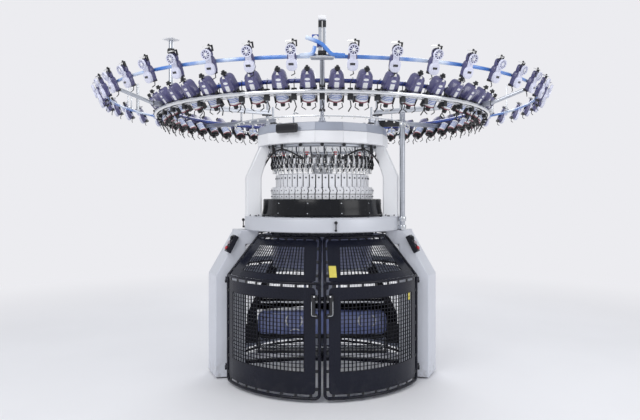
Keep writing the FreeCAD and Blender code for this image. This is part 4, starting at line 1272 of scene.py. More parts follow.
@dataclass
class Cams:
    """Cam segments: a cap, a shoulder with a bulge, a lower plate, and their screws."""

    bore: float = 0.385
    radius: float = 0.4425
    cap_radius: float = 0.402
    cap_height: float = 0.113
    gap: float = 0.0095
    groove: float = 0.0045

    def outline(self, half: float, low: float, high: float, bulge: float) -> list[Point2]:
        """Side edges that swing to one side half way up, so that neighbours key into each other.

        Args:
            half: half the width.
            low: where it starts.
            high: where it ends.
            bulge: how far its sides swing.

        Returns:
            The corners.
        """
        steps = 8
        right = []
        for k in range(steps + 1):
            share = k / steps
            swing = bulge * math.sin(math.pi * min(1.0, max(0.0, share * 1.6 - 0.3)))
            right.append((half + swing, low + (high - low) * share))
        left = [(x - 2 * half, z) for x, z in reversed(right)]
        return right + left

    def build(self) -> None:
        """Makes the pieces."""
        low, high = PLAN.cams
        step = high - self.cap_height
        half = math.pi * self.radius / PLAN.feeders - self.gap / 2
        cap_half = math.pi * self.cap_radius / PLAN.feeders - self.gap / 2
        split = low + (step - low) * 0.45
        lower = Blank().plate(
            self.outline(half, low, split - self.groove / 2, 0.0), 0.05,
            standing(0, self.radius - 0.003)
        )
        lower.plate(
            self.outline(half, split + self.groove / 2, step, 0.006), 0.055,
            standing(0, self.radius)
        )
        lower.plate([
            (-half * 0.8, step - 0.001), (half * 0.8, step - 0.001), (cap_half * 0.8, step + 0.012),
            (-cap_half * 0.8, step + 0.012)
        ], 0.03, standing(0, self.radius - 0.012))
        # The cams' near-white plate finish is a painted highlight on steel.
        FEEDER_ROUND.stand(lower, "cam_blocks", Finishes.plate, "cam_segments", slot="dark_steel")
        cap = Blank().plate(
            self.outline(cap_half, step + 0.006, high, 0.0), 0.015, standing(0, self.cap_radius)
        )
        FEEDER_ROUND.stand(cap, "cam_caps", Finishes.plate)
        core = [
            (self.bore, low), (self.radius - 0.012, low), (self.radius - 0.012, step - 0.006),
            (self.cap_radius - 0.004, step + 0.002), (self.cap_radius - 0.004, high - 0.003),
            (self.bore, high - 0.003)
        ]
        Blank().hoop(core, SMOOTH).fit("cam_ring_core", Finishes.rubber)
        heads = Blank()
        for radius, height, size in (
            (self.cap_radius, high - 0.028, 0.0075), (self.radius, step - 0.018, 0.0045),
            (self.radius - 0.003, low + 0.02, 0.0045)
        ):
            heads.screw(outward(0, radius, height), size, 0.004)
        FEEDER_ROUND.stand(heads, "cam_screws", Finishes.dark)


@dataclass
class YarnGuides:
    """What leads the yarns down to the cams, with the stop lamps and the cables under the crown."""

    ring_radius: float = 0.42
    ring_height: float = 1.792
    foot_radius: float = 0.41
    foot: float = 1.69
    bar: float = 0.0035

    def near(self, azimuth: float, out: float, up: float) -> Vector:
        """Point off the guide ring, outwards and upwards."""
        return polar(azimuth, self.ring_radius + out, self.ring_height + up)

    def build(self) -> None:
        """Makes the pieces."""
        top = PLAN.crown[0]
        at = self.ring_height
        ring = Blank().hoop(
            oblong(self.ring_radius - 0.012, self.ring_radius, at, at + 0.014), SMOOTH
        )
        ring.fit("guide_ring", Finishes.bright)

        finger = Blank().tube([
            polar(0, self.ring_radius + 0.009, top - 0.022), self.near(0.4, 0.014, 0.05),
            self.near(-0.6, 0.004, -0.01), polar(0, self.foot_radius, self.foot)
        ], self.bar, 6)
        finger.tube([
            self.near(2.2, 0.016, 0.066), self.near(1.2, 0.02, 0.02),
            polar(1.4, self.foot_radius + 0.012, self.foot + 0.03)
        ], self.bar * 0.6, 5)
        fingers = Round(PLAN.feeders, start=HALF_PITCH, jitter=0.7, seed=11)
        fingers.stand(finger, "guide_fingers", Finishes.bright, "yarn_carriers")

        holder = Blank().slab(
            (-0.011, -0.014, 0.0), (0.011, 0.012, 0.03), standing(0, self.ring_radius, at + 0.008),
            0.003
        )
        holder.slab(
            (-0.005, -0.02, -0.034), (0.006, -0.006, 0.006), standing(0, self.ring_radius, at),
            0.002
        )
        holder.slab(
            (-0.014, -0.024, -0.064), (-0.004, -0.01, -0.04), standing(0, self.ring_radius, at),
            0.002
        )
        holder.tube([
            self.near(-2.0, 0.016, 0.02), self.near(-2.6, 0.026, -0.03),
            self.near(-1.2, 0.006, -0.066)
        ], 0.0042, 6)
        holders = Round(PLAN.feeders, start=HALF_PITCH, jitter=0.9, seed=5)
        holders.stand(holder, "guide_holders", Finishes.black)
        plate = Blank().plate(
            shifted(rounded(0.02, 0.046, 0.006), 0.004, at - 0.012), 0.003,
            standing(2.6, self.ring_radius + 0.01)
        )
        plates = Round(PLAN.feeders, start=HALF_PITCH, jitter=1.2, seed=8)
        # The plates' near-white finish is a painted highlight on steel.
        plates.stand(plate, "guide_plates", Finishes.plate)

        eyelet = Blank().hoop(
            [(0.003, -0.002), (0.007, -0.003), (0.007, 0.003), (0.003, 0.002)], 10,
            outward(0, self.ring_radius + 0.022, at + 0.046)
        )
        for turn, level in ((-1.6, -0.022), (1.8, -0.044), (-0.4, -0.074)):
            eyelet.slab(
                (-0.006, -0.004, -0.005), (0.006, 0.004, 0.005),
                standing(turn, self.ring_radius + 0.018 + level * 0.12, at + level), 0.002
            )
        eyelet.hoop(
            oblong(0.0025, 0.006, -0.002, 0.002), 8,
            outward(1.5, self.foot_radius + 0.016, self.foot + 0.006)
        )
        fingers.stand(eyelet, "guide_eyelets", Finishes.ceramic)
        lever = Blank().tube([
            self.near(-1.8, 0.006, 0.088), self.near(-0.8, 0.026, 0.06), self.near(0.8, 0.02, 0.03)
        ], 0.003, 5)
        levers = Round(PLAN.feeders, start=HALF_PITCH, jitter=1.6, seed=21)
        levers.stand(lever, "guide_levers", Finishes.black)
        lamp = Blank().slab(
            (-0.022, -0.012, 0.0), (0.006, 0.0, 0.008),
            standing(0, self.ring_radius + 0.012, at + 0.052), 0.002
        )
        lamp.slab(
            (-0.016, -0.012, -0.018), (0.002, 0.0, -0.01),
            standing(0, self.ring_radius + 0.012, at + 0.052), 0.002
        )
        lamps = Round(12, start=15.0)
        lamps.stand(lamp, "stop_lamps", Finishes.red)
        cables, under = Blank(), span("upper_ring")[0]
        for side in (-1, 1):
            path = [
                Vector((side * x, y, z))
                for x, y, z in (
                    (0.52, -0.1, 1.69), (0.475, -0.18, 1.77), (0.4, -0.3, 1.85),
                    (0.325, -0.38, 1.872), (0.25, -0.41, 1.85), (0.165, -0.41, 1.8)
                )
            ]
            cables.tube(arc_path(path, 5), 0.0065, 8)
            for x, y, z, rise in (
                (0.4, -0.3, 1.85, under), (0.325, -0.38, 1.872, under), (0.165, -0.41, 1.8, 1.816)
            ):
                cables.slab(
                    (-0.01, -0.01, z - 0.01), (0.01, 0.01, rise),
                    Matrix.Translation((side * x, y, 0.0)), 0.003
                )
        cables.fit("head_cables", Finishes.rubber)
        drop = Blank().tube([
            polar(0, 0.47, top - 0.018), polar(0, 0.472, at + 0.07), polar(0.5, 0.462, at + 0.04)
        ], 0.006, 8)
        Round(24, start=3.0, jitter=2.0, seed=2).stand(drop, "guide_posts", Finishes.dark)


@dataclass
class NeedleCylinder:
    """Needle cylinder with its ribs, the full circle of needles and the gear below."""

    radius: float = 0.3805
    wall: float = 0.03
    rib_count: int = 120
    needle_count: int = 240
    needle_circle: float = 0.372

    def build(self) -> None:
        """Makes the pieces."""
        low, high = span("needle_cylinder")
        r = self.radius
        inner = r - self.wall
        barrel = Blank().hoop([
            (inner, low), (r - 0.003, low), (r - 0.003, high - 0.006), (r - 0.006, high),
            (inner, high)
        ], SMOOTH)
        barrel.fit("cylinder_barrel", Finishes.bright, "needle_cylinder", body=CYLINDER)
        rib = Blank().slab(
            (-0.004, 0.0, high - 0.12), (0.004, 0.0025, high - 0.004), standing(0, r)
        )
        Round(self.rib_count).stand(rib, "cylinder_ribs", Finishes.bright, body=CYLINDER)
        needle = Blank().slab(
            (-0.0012, -0.002, high - 0.01), (0.0012, 0.002, high + 0.018),
            standing(0, self.needle_circle)
        )
        needle.slab(
            (-0.001, -0.004, high + 0.018), (0.001, 0.002, high + 0.022),
            standing(0, self.needle_circle)
        )
        Round(self.needle_count).stand(
            needle, "needle_tops", Finishes.bright, "needles", body=CYLINDER
        )
        soften("ring_gear", "ring_gear_teeth", Finishes.dark, 0.0015, 1, 40, body=CYLINDER)


@dataclass
class Drive:
    """Motor with cooling ribs under the bed at the rear, its bracket and the pinion."""

    azimuth: float = 180.0
    circle: float = 0.495
    radius: float = 0.058
    ribs: int = 22

    def build(self) -> None:
        """Makes the pieces."""
        low, high = span("drive_motor")
        at = standing(self.azimuth, self.circle)
        r = self.radius
        body = Blank().turn([
            (0.02, low), (r * 0.8, low), (r * 0.92, low + 0.012), (r * 0.92, low + 0.04),
            (r * 0.86, low + 0.044), (r * 0.86, high - 0.03), (r, high - 0.026), (r, high),
            (0.02, high)
        ], 32, at)
        body.spokes(self.ribs, (-0.0012, r * 0.8, low + 0.05), (0.0012, r * 0.98, high - 0.032), at)
        body.slab((-0.03, -r * 1.25, low + 0.06), (0.03, -r * 0.8, low + 0.12), at, 0.004)
        body.fit("motor_housing", Finishes.grey, "drive_motor", slot="grey_enamel")
        soften("motor_bracket", "motor_bracket_plate", Finishes.cast, 0.002)
        soften("drive_pinion", "pinion_wheel", Finishes.dark, 0.0015, 1, 40, body="pinion")


# ---------------------------------------------------------------- feeder rings

@dataclass
class Rings:
    """Posts, arms, both feeder rings with their clamps, and the yarn guide ring."""

    post_circle: float = 0.52
    post_radius: float = 0.014
    arm: Point2 = (0.498, 1.449)
    arm_size: float = 0.036
    hose_radius: float = 0.0115
    hose_gap: float = 2.3
    clamp: Colour = (0.134, 0.01, 0.031)
    guide_radius: float = 0.75
    sides: int = 192

    def arc(
        self, radius: float, height: float, start: float = 0.0, stop: float = FULL_TURN
    ) -> list[Vector]:
        """Points of a level arc round the machine."""
        steps = max(2, round(self.sides * (stop - start) / FULL_TURN))
        return [polar(azimuth, radius, height) for azimuth in evenly(start, stop, steps)]

    def build(self) -> None:
        """Makes the pieces."""
        self.posts()
        self.arms()
        self.inner()
        self.outer()
        self.guides()

    def posts(self) -> None:
        """Posts between the crown and the arms, with their foot flanges."""
        low, high = span("ring_posts")
        post = Blank().turn([
            (0.03, low), (0.03, low + 0.008), (0.022, low + 0.011), (0.022, low + 0.03),
            (self.post_radius, low + 0.032), (self.post_radius, high)
        ], 20, standing(0, self.post_circle))
        ARM_ROUND.stand(
            post, "ring_post_tubes", Finishes.aluminium, "ring_posts", slot="bright_steel"
        )
        foot, top = span("ring_arms")[1], PLAN.inner_ring[1] + 0.14
        rod = Blank().turn(
            [(0.01, foot), (0.01, top), (0.006, top + 0.004)], 12, standing(0, self.post_circle)
        )
        ARM_ROUND.stand(rod, "ring_post_rods", Finishes.aluminium)

    def arms(self) -> None:
        """Profiled beams from the crown out to the rings, with slots along them."""
        low, high = span("ring_arms")
        start, stop = self.arm
        half = self.arm_size / 2
        slot = 0.004
        deep = 0.007
        outline = [
            (-half, low), (-slot, low), (-slot, low + deep), (slot, low + deep), (slot, low),
            (half, low), (half, low + half - slot), (half - deep, low + half - slot),
            (half - deep, low + half + slot), (half, low + half + slot), (half, high), (slot, high),
            (slot, high - deep), (-slot, high - deep), (-slot, high), (-half, high),
            (-half, low + half + slot), (-half + deep, low + half + slot),
            (-half + deep, low + half - slot), (-half, low + half - slot)
        ]
        beam = Blank().plate(outline, stop - start, standing(0, stop))
        ARM_ROUND.stand(beam, "ring_arm_beams", Finishes.aluminium, "ring_arms")
        caps = Blank().slab(
            (-half - 0.001, -0.003, low - 0.001), (half + 0.001, 0.0, high + 0.001),
            standing(0, stop)
        )
        caps.slab(
            (-half - 0.006, -0.02, low - 0.01), (half + 0.006, 0.05, low),
            standing(0, self.post_circle + 0.02), 0.004
        )
        ARM_ROUND.stand(caps, "ring_arm_caps", Finishes.black)
        rod = Blank().turn([
            (0.007, low - 0.08), (0.007, low), (0.013, low), (0.013, low + 0.01)
        ], 12, standing(0, self.guide_radius))
        rod.turn([
            (0.005, high), (0.005, high + 0.1), (0.002, high + 0.104)
        ], 10, standing(0, self.guide_radius))
        ARM_ROUND.stand(rod, "guide_rods", Finishes.bright)

    def inner(self) -> None:
        """Round inner ring with a perforated rail inside it."""
        low, high = PLAN.inner_ring
        middle = (low + high) / 2
        ring = Blank().tube(
            self.arc(PLAN.inner_radius, middle)[:-1], PLAN.ring_section / 2, 14, endless=True
        )
        ring.fit("inner_ring_tube", Finishes.chrome, "inner_ring")
        inside = PLAN.inner_radius - PLAN.ring_section / 2
        rails = Blank()
        for near, far in ((inside - 0.04, inside - 0.034), (inside - 0.008, inside + 0.001)):
            rails.hoop(oblong(near, far, low - 0.003, low), self.sides)
        rails.fit("perforated_rails", Finishes.label)
        bar = Blank().slab((-0.006, 0.008, low - 0.003), (0.006, 0.034, low), standing(0, inside))
        Round(144, start=1.25).stand(bar, "rail_bars", Finishes.label)

    def outer(self) -> None:
        """Outer ring: a bar in a glossy hose that stops at the front, clamps and hangers."""
        low, high = PLAN.outer_ring
        middle = (low + high) / 2
        bar = Blank().tube(self.arc(PLAN.outer_radius, middle)[:-1], 0.0085, 10, endless=True)
        bar.fit("outer_ring_bar", Finishes.bright, "outer_ring")
        hose = Blank().tube(self.arc(
            PLAN.outer_radius, middle, self.hose_gap, FULL_TURN - self.hose_gap
        ), self.hose_radius, 14)
        hose.fit("outer_ring_hose", Finishes.hose)
        width, depth, height = self.clamp
        inside = PLAN.outer_radius - PLAN.outer_section / 2 - 0.0008
        clamps = Blank().plate(
            shifted(rounded(width, height, 0.01), 0.0, middle), depth, standing(0, inside - depth),
            -depth
        )
        for across in (-1, 1):
            clamps.slab(
                (across * 0.045 - 0.009, -0.002, middle + 0.01),
                (across * 0.045 + 0.009, 0.014, middle + 0.0155), standing(0, PLAN.outer_radius),
                0.002
            )
        ARM_ROUND.stand(clamps, "ring_clamp_plates", Finishes.aluminium, "ring_clamps")
        arm_low, arm_high = span("ring_arms")
        start = polar(0, self.arm[1], (arm_low + arm_high) / 2)
        end = polar(0, inside - depth, middle)
        hanger = Blank().tube([start, end], 0.0135, 16)
        ARM_ROUND.stand(hanger, "ring_hanger_tubes", Finishes.aluminium, "ring_hangers")
        screws = Blank()
        for across in (-0.055, 0.055):
            seat = standing(0, inside - depth) @ Matrix.Translation((across, 0.01, middle))
            screws.screw(seat @ Matrix.Rotation(-math.pi / 2, 4, "X"), 0.006, 0.004)
        ARM_ROUND.stand(screws, "clamp_screws", Finishes.dark)

    def guides(self) -> None:
        """Thin ring with eyelets for the yarns, and the hose behind the storage feeders."""
        low = span("ring_arms")[0] - 0.078
        ring = Blank().tube(self.arc(self.guide_radius, low)[:-1], 0.005, 8, endless=True)
        ring.fit("yarn_guide_ring", Finishes.bright)
        eyelet = Blank().hoop(
            [(0.0035, -0.002), (0.008, -0.003), (0.008, 0.003), (0.0035, 0.002)], 10,
            outward(0, self.guide_radius, low - 0.013)
        )
        FEEDER_ROUND.stand(eyelet, "yarn_guide_eyelets", Finishes.ceramic)
        heights = span("feeder_hose")
        half = (heights[1] - heights[0]) / 2
        radius = reach("feeder_hose") * math.cos(math.pi / INNER_RING_SIDES) - half
        line = self.arc(radius, sum(heights) / 2)[:-1]
        hose = Blank().tube(line, half - 0.0005, 12, endless=True)
        hose.fit("feeder_hose_ring", Finishes.hose_dark, "feeder_hose")


# ---------------------------------------------------------------- feeders

@dataclass
class StorageFeeders:
    """Yarn storage units on the inner ring, and the switch blocks between them."""

    lean: float = 38.0
    clearance: float = 0.00024
    hood_foot: float = 0.102
    hood_top: float = 0.076
    hood_rise: Point2 = (0.002, 0.116)
    hood_depth: float = 0.066
    drum_radius: float = 0.0465
    drum_depth: float = 0.036
    bands: int = 5

    def build(self) -> None:
        """Makes one unit's pieces and repeats each round the ring."""
        place = leaning(
            PLAN.inner_radius - PLAN.ring_section / 2 - self.clearance, PLAN.inner_ring[1],
            self.lean
        )
        drum = moved(place, 0.0, self.drum_depth, 0.0)
        FEEDER_ROUND.stand(self.hood(place), "storage_hoods", Finishes.violet, "storage_feeders")
        # The strips' lighter violet is a painted highlight.
        FEEDER_ROUND.stand(self.band(place), "storage_bands", Finishes.violet_painted_highlight)
        FEEDER_ROUND.stand(self.badges(place), "storage_badges", Finishes.label)
        # The sockets' darker violet is painted shade.
        FEEDER_ROUND.stand(self.sockets(place), "storage_sockets", Finishes.violet_painted_shade)
        FEEDER_ROUND.stand(self.drum(drum), "storage_drums", Finishes.label)
        FEEDER_ROUND.stand(self.windings(drum), "storage_windings", Finishes.yarn_blue)
        FEEDER_ROUND.stand(self.rims(drum), "storage_rims", Finishes.rim)
        FEEDER_ROUND.stand(self.fittings(place, drum), "storage_fittings", Finishes.black)
        FEEDER_ROUND.stand(self.eyelets(place), "storage_eyelets", Finishes.ceramic)
        between = Round(PLAN.feeders)
        low, high = PLAN.inner_ring
        at = standing(0, PLAN.inner_radius)
        block = Blank().slab((-0.017, 0.01, low - 0.034), (0.017, 0.04, high + 0.012), at, 0.004)
        block.slab((-0.01, -0.012, high), (0.01, 0.02, high + 0.008), at, 0.003)
        block.tube(through(
            at, (0, 0.028, high + 0.01), (0, 0.02, high + 0.052), (0.012, 0.004, high + 0.066)
        ), 0.003, 6)
        block.tube(through(
            at, (0, 0.026, low - 0.03), (0.01, 0.052, low - 0.074), (-0.006, 0.064, low - 0.104)
        ), 0.004, 6)
        between.stand(block, "ring_switches", Finishes.black)
        eye = Blank().hoop(
            oblong(0.0025, 0.006, -0.002, 0.002), 8, facing(moved(at, 0.012, 0.004, high + 0.07))
        )
        eye.turn([
            (0.006, low - 0.04), (0.009, low - 0.038), (0.009, low - 0.034)
        ], 8, moved(at, 0.0, 0.026, 0.0))
        between.stand(eye, "ring_switch_eyes", Finishes.bright)

    def hood(self, place: Matrix) -> Blank:
        """Tapered housing with round shoulders.

        Args:
            place: frame of the unit.

        Returns:
            The blank.
        """
        low, high = self.hood_rise
        foot, top = self.hood_foot / 2, self.hood_top / 2
        outline = [
            (-foot + 0.006, low), (foot - 0.006, low), (foot, low + 0.006), (foot, low + 0.03),
            (top + 0.003, high - 0.022), (top - 0.006, high - 0.007), (top - 0.02, high),
            (-top + 0.02, high), (-top + 0.006, high - 0.007), (-top - 0.003, high - 0.022),
            (-foot, low + 0.03), (-foot, low + 0.006)
        ]
        return Blank().cushion(outline, self.hood_depth, place, 0.004, 0.007)

    def band(self, place: Matrix) -> Blank:
        """Strip down the middle of the hood, in a lighter violet that is a painted highlight."""
        low, high = self.hood_rise
        return Blank().plate(shifted(
            rounded(0.044, high - low - 0.02, 0.01), 0.0, (low + high) / 2
        ), 0.004, place, 0.0022)

    def badges(self, place: Matrix) -> Blank:
        """White oval and plate on the strip."""
        oval = [(x, z * 0.5) for x, z in circle(0.017, 14)]
        return Blank().plate(shifted(oval, 0.0, 0.07), 0.002, place, 0.0008).plate(
            shifted(rounded(0.03, 0.038, 0.004), 0.0, 0.031), 0.002, place, 0.0008
        )

    def sockets(self, place: Matrix) -> Blank:
        """Oval above the badge and the switch bosses at the sides, in a darker violet that is
        painted shade; the flat oval stands for a recess.

        Args:
            place: frame of the unit.

        Returns:
            The blank.
        """
        oval = [(x, z * 0.6) for x, z in circle(0.01, 12)]
        parts = Blank().plate(shifted(oval, 0.0, 0.092), 0.002, place, 0.0006)
        for x in (-0.031, 0.031):
            parts.turn(
                [(0.006, 0.0), (0.006, 0.005), (0.004, 0.007), (0.0, 0.007)], 8,
                facing(moved(place, x, 0.006, 0.022))
            )
        return parts

    def drum(self, drum: Matrix) -> Blank:
        """Body of the drum."""
        r = self.drum_radius
        return Blank().turn([
            (r * 0.7, 0.0), (r * 0.98, -0.004), (r, -0.01), (r * 0.93, -0.016), (r * 0.93, -0.074),
            (r * 0.98, -0.08), (r * 0.9, -0.084), (r * 0.3, -0.084)
        ], 18, drum)

    def windings(self, drum: Matrix) -> Blank:
        """Bands of wound yarn on the drum.

        Args:
            drum: frame of the drum.

        Returns:
            The blank.
        """
        r = self.drum_radius * 0.955
        wound = Blank()
        for band in range(self.bands):
            low = -0.068 + band * 0.011
            wound.hoop([
                (r - 0.004, low), (r, low + 0.001), (r, low + 0.005), (r - 0.004, low + 0.006)
            ], 18, drum)
        return wound

    def rims(self, drum: Matrix) -> Blank:
        """Coloured rim under the drum."""
        r = self.drum_radius
        return Blank().hoop([
            (r * 0.86, -0.084), (r * 0.99, -0.0845), (r * 1.02, -0.087), (r * 0.98, -0.09),
            (r * 0.86, -0.091)
        ], 18, drum)

    def fittings(self, place: Matrix, drum: Matrix) -> Blank:
        """Black clamps on the ring, the knob with its stem, and the small arms under the drum.

        Args:
            place: frame of the unit.
            drum: frame of the drum.

        Returns:
            The blank.
        """
        parts = Blank()
        for side in (-1, 1):
            x = side * 0.0405
            parts.slab((x - 0.007, 0.0005, -0.03), (x + 0.007, 0.014, 0.014), place, 0.002)
            parts.slab(
                (side * 0.051 - 0.004, 0.018, -0.104), (side * 0.051 + 0.004, 0.05, 0.006), place,
                0.002
            )
            parts.tube(through(
                place, (x, 0.004, -0.098), (side * 0.046, -0.012, -0.118),
                (side * 0.02, -0.02, -0.132)
            ), 0.0035, 6)
        parts.tube(through(place, (0, 0.024, 0.11), (0, 0.024, 0.13)), 0.007, 8)
        parts.slab((-0.017, 0.01, 0.127), (0.017, 0.042, 0.137), place, 0.006)
        parts.slab((-0.008, 0.012, 0.137), (0.008, 0.036, 0.15), place, 0.003)
        parts.turn([
            (self.drum_radius * 0.8, -0.0845), (self.drum_radius * 0.8, -0.092), (0.012, -0.094),
            (0.012, -0.106), (0.005, -0.109)
        ], 12, drum)
        parts.slab((-0.052, -0.006, -0.104), (0.052, 0.008, -0.096), drum, 0.002)
        parts.slab((-0.014, -0.034, -0.12), (0.012, -0.01, -0.098), drum, 0.003)
        return parts

    def eyelets(self, place: Matrix) -> Blank:
        """White guide near the top and two small ones at the drum's foot.

        Args:
            place: frame of the unit.

        Returns:
            The blank.
        """
        guide = Blank().cushion([
            (-0.01, 0.104), (0.01, 0.104), (0.004, 0.121), (-0.004, 0.121)
        ], 0.006, place, -0.001, 0.0015)
        for side in (-1, 1):
            seat = facing(moved(place, side * 0.02, -0.02, -0.132))
            guide.hoop(oblong(0.002, 0.005, -0.002, 0.002), 8, seat)
        return guide


@dataclass
class RollerFeeders:
    """Units on the outer ring: a housing with a spoked wheel, a display and a guide."""

    lean: float = 24.0
    off_ring: float = 0.0001
    wheel_rise: float = 0.058
    wheel_radius: float = 0.031
    spokes: int = 9

    def build(self) -> None:
        """Makes one unit's pieces and repeats each in the three sectors."""
        ring = reach("outer_ring") + self.off_ring
        place = leaning(ring, PLAN.outer_ring[0], self.lean)
        hub = facing(moved(place, 0.0, -0.05, self.wheel_rise))
        ROLLER_ROUND.stand(self.back(place), "roller_backs", Finishes.violet, "roller_feeders")
        ROLLER_ROUND.stand(self.front(place), "roller_fronts", Finishes.pale)
        ROLLER_ROUND.stand(self.wheel(hub), "roller_wheels", Finishes.pale)
        # The rims' darker violet is painted shade.
        ROLLER_ROUND.stand(self.rim(hub), "roller_rims", Finishes.violet_painted_shade)
        ROLLER_ROUND.stand(self.hub(hub), "roller_hubs", Finishes.label)
        ROLLER_ROUND.stand(self.display(place), "roller_displays", Finishes.window)
        ROLLER_ROUND.stand(self.fittings(place), "roller_fittings", Finishes.black)
        ROLLER_ROUND.stand(self.disc(place), "roller_discs", Finishes.ceramic)

    def back(self, place: Matrix) -> Blank:
        """Violet rear half of the housing."""
        return Blank().cushion(
            shifted(rounded(0.052, 0.1, 0.022, 3), 0.0, -0.008), 0.034, place, -0.036, 0.004
        ).cushion(shifted(rounded(0.042, 0.052, 0.018, 3), 0.0, 0.06), 0.026, place, -0.034, 0.004)

    def front(self, place: Matrix) -> Blank:
        """Pale front shell: a round foot and a neck up to the wheel."""
        return Blank().cushion(
            shifted(rounded(0.062, 0.072, 0.026, 4), 0.0, -0.026), 0.022, place, -0.056, 0.005
        ).cushion(shifted(rounded(0.034, 0.05, 0.008, 3), 0.0, 0.022), 0.018, place, -0.051, 0.004)

    def wheel(self, hub: Matrix) -> Blank:
        """Rim and spokes of the wheel.

        Args:
            hub: frame of the wheel's axis.

        Returns:
            The blank.
        """
        r = self.wheel_radius
        wheel = Blank().hoop([
            (r - 0.006, 0.002), (r - 0.001, 0.0), (r, 0.003), (r - 0.002, 0.007), (r, 0.011),
            (r - 0.001, 0.014), (r - 0.006, 0.012)
        ], 20, hub)
        return wheel.spokes(self.spokes, (0.006, -0.0024, 0.004), (r - 0.005, 0.0024, 0.011), hub)

    def rim(self, hub: Matrix) -> Blank:
        """Violet ring inside the wheel, behind the spokes, in a darker violet that is painted
        shade.
        """
        r = self.wheel_radius
        return Blank().hoop(oblong(0.007, r - 0.003, -0.002, 0.003), 20, hub)

    def hub(self, hub: Matrix) -> Blank:
        """White hub in the middle of the wheel."""
        return Blank().turn([(0.009, 0.0), (0.009, 0.011), (0.006, 0.014), (0.0, 0.0142)], 12, hub)

    def display(self, place: Matrix) -> Blank:
        """Dark window on the round foot."""
        return Blank().plate(
            shifted(rounded(0.029, 0.013, 0.002), -0.002, -0.022), 0.003, place, -0.0572
        )

    def fittings(self, place: Matrix) -> Blank:
        """Clamp on the hose, the wire over the wheel and the tension knob.

        Args:
            place: frame of the unit.

        Returns:
            The blank.
        """
        parts = Blank().slab((-0.014, -0.036, -0.012), (0.014, 0.001, 0.03), place, 0.003)
        arch = [
            place @ Vector((x, -0.03, 0.078 + z))
            for x, z in (
                (-0.024, -0.012), (-0.018, 0.006), (0.0, 0.012), (0.018, 0.006), (0.024, -0.012)
            )
        ]
        parts.tube(arc_path(arch, 2), 0.0022, 5)
        parts.turn([
            (0.004, 0.084), (0.004, 0.102), (0.006, 0.103), (0.006, 0.11), (0.003, 0.112)
        ], 10, moved(place, 0.01, -0.022, 0.0))
        parts.slab((0.002, -0.03, 0.096), (0.034, -0.018, 0.104), place, 0.002)
        parts.slab((0.026, -0.03, 0.07), (0.034, -0.018, 0.104), place, 0.002)
        parts.slab((-0.02, -0.02, -0.062), (0.016, 0.006, -0.046), place, 0.003)
        parts.tube(through(
            place, (0.006, -0.01, -0.058), (0.012, -0.024, -0.082), (-0.008, -0.034, -0.09)
        ), 0.003, 6)
        return parts

    def disc(self, place: Matrix) -> Blank:
        """White disc under the knob."""
        return Blank().turn(
            [(0.012, 0.096), (0.027, 0.097), (0.028, 0.099), (0.012, 0.102)], 16,
            moved(place, -0.004, -0.022, 0.0)
        )


# ---------------------------------------------------------------- masts and head

@dataclass
class Head:
    """Twin bars with grips over the front of the outer ring, the air nozzle and the hose ends."""

    spread: float = 0.012
    bar: float = 0.018
    height: float = 0.172
    hose_radius: float = 0.0113
    routes: tuple[tuple[Point2, ...], ...] = (
        (
            (0.128, 0.0), (0.085, 0.004), (0.05, 0.01), (0.0, 0.062), (-0.045, 0.084),
            (-0.092, 0.101)
        ), ((-0.125, 0.0), (-0.085, 0.004), (-0.054, 0.012), (-0.041, 0.05))
    )

    def build(self) -> None:
        """Makes the pieces."""
        low, high = span("head_mast")
        front = standing(0, PLAN.outer_radius)
        bars = Blank()
        grips = Blank()
        half = self.bar / 2
        top = PLAN.outer_ring[1]
        for side in (-1, 1):
            x = side * self.spread
            bars.slab((x - half, -half, low), (x + half, half, high - 0.024), front, 0.003)
            grips.slab(
                (x - half - 0.001, -half - 0.001, high - 0.066),
                (x + half + 0.001, half + 0.001, high - 0.028), front, 0.003
            )
            grips.slab(
                (x - half * 0.8, -half * 0.8, high - 0.03),
                (x + half * 0.8, half * 0.8, high - 0.012), front, 0.002
            )
        bars.fit("head_bars", Finishes.aluminium, "head_mast")
        grips.slab((-0.024, -0.012, top), (0.024, 0.012, top + 0.018), front, 0.003)
        grips.fit("head_grips", Finishes.black)
        cap = Blank().cushion(
            shifted(rounded(0.047, 0.024, 0.007), 0.0, high - 0.0125), 0.038, front, -0.019, 0.004
        )
        cap.fit("head_cap", Finishes.label)
        nozzle = Blank().plate([
            (-0.05, top + 0.072), (-0.026, top + 0.07), (-0.024, top + 0.098),
            (-0.034, top + 0.106), (-0.052, top + 0.098)
        ], 0.02, front, -0.01)
        nozzle.fit("air_nozzle", Finishes.label)
        block = Blank().slab((-0.03, -0.015, top + 0.04), (0.002, 0.012, top + 0.066), front, 0.004)
        block.slab((-0.058, -0.006, top + 0.096), (-0.01, 0.004, top + 0.11), front, 0.003)
        block.fit("air_block", Finishes.hose_dark)
        hoses = Blank()
        level = PLAN.outer_radius + PLAN.outer_section / 2 + 0.0004 + self.hose_radius
        for route in self.routes:
            path = [Vector((x, -level, sum(PLAN.outer_ring) / 2 + z)) for x, z in route]
            hoses.tube(arc_path(path, 6), self.hose_radius, 14)
        hoses.fit("head_hose_ends", Finishes.hose, "head_hoses")


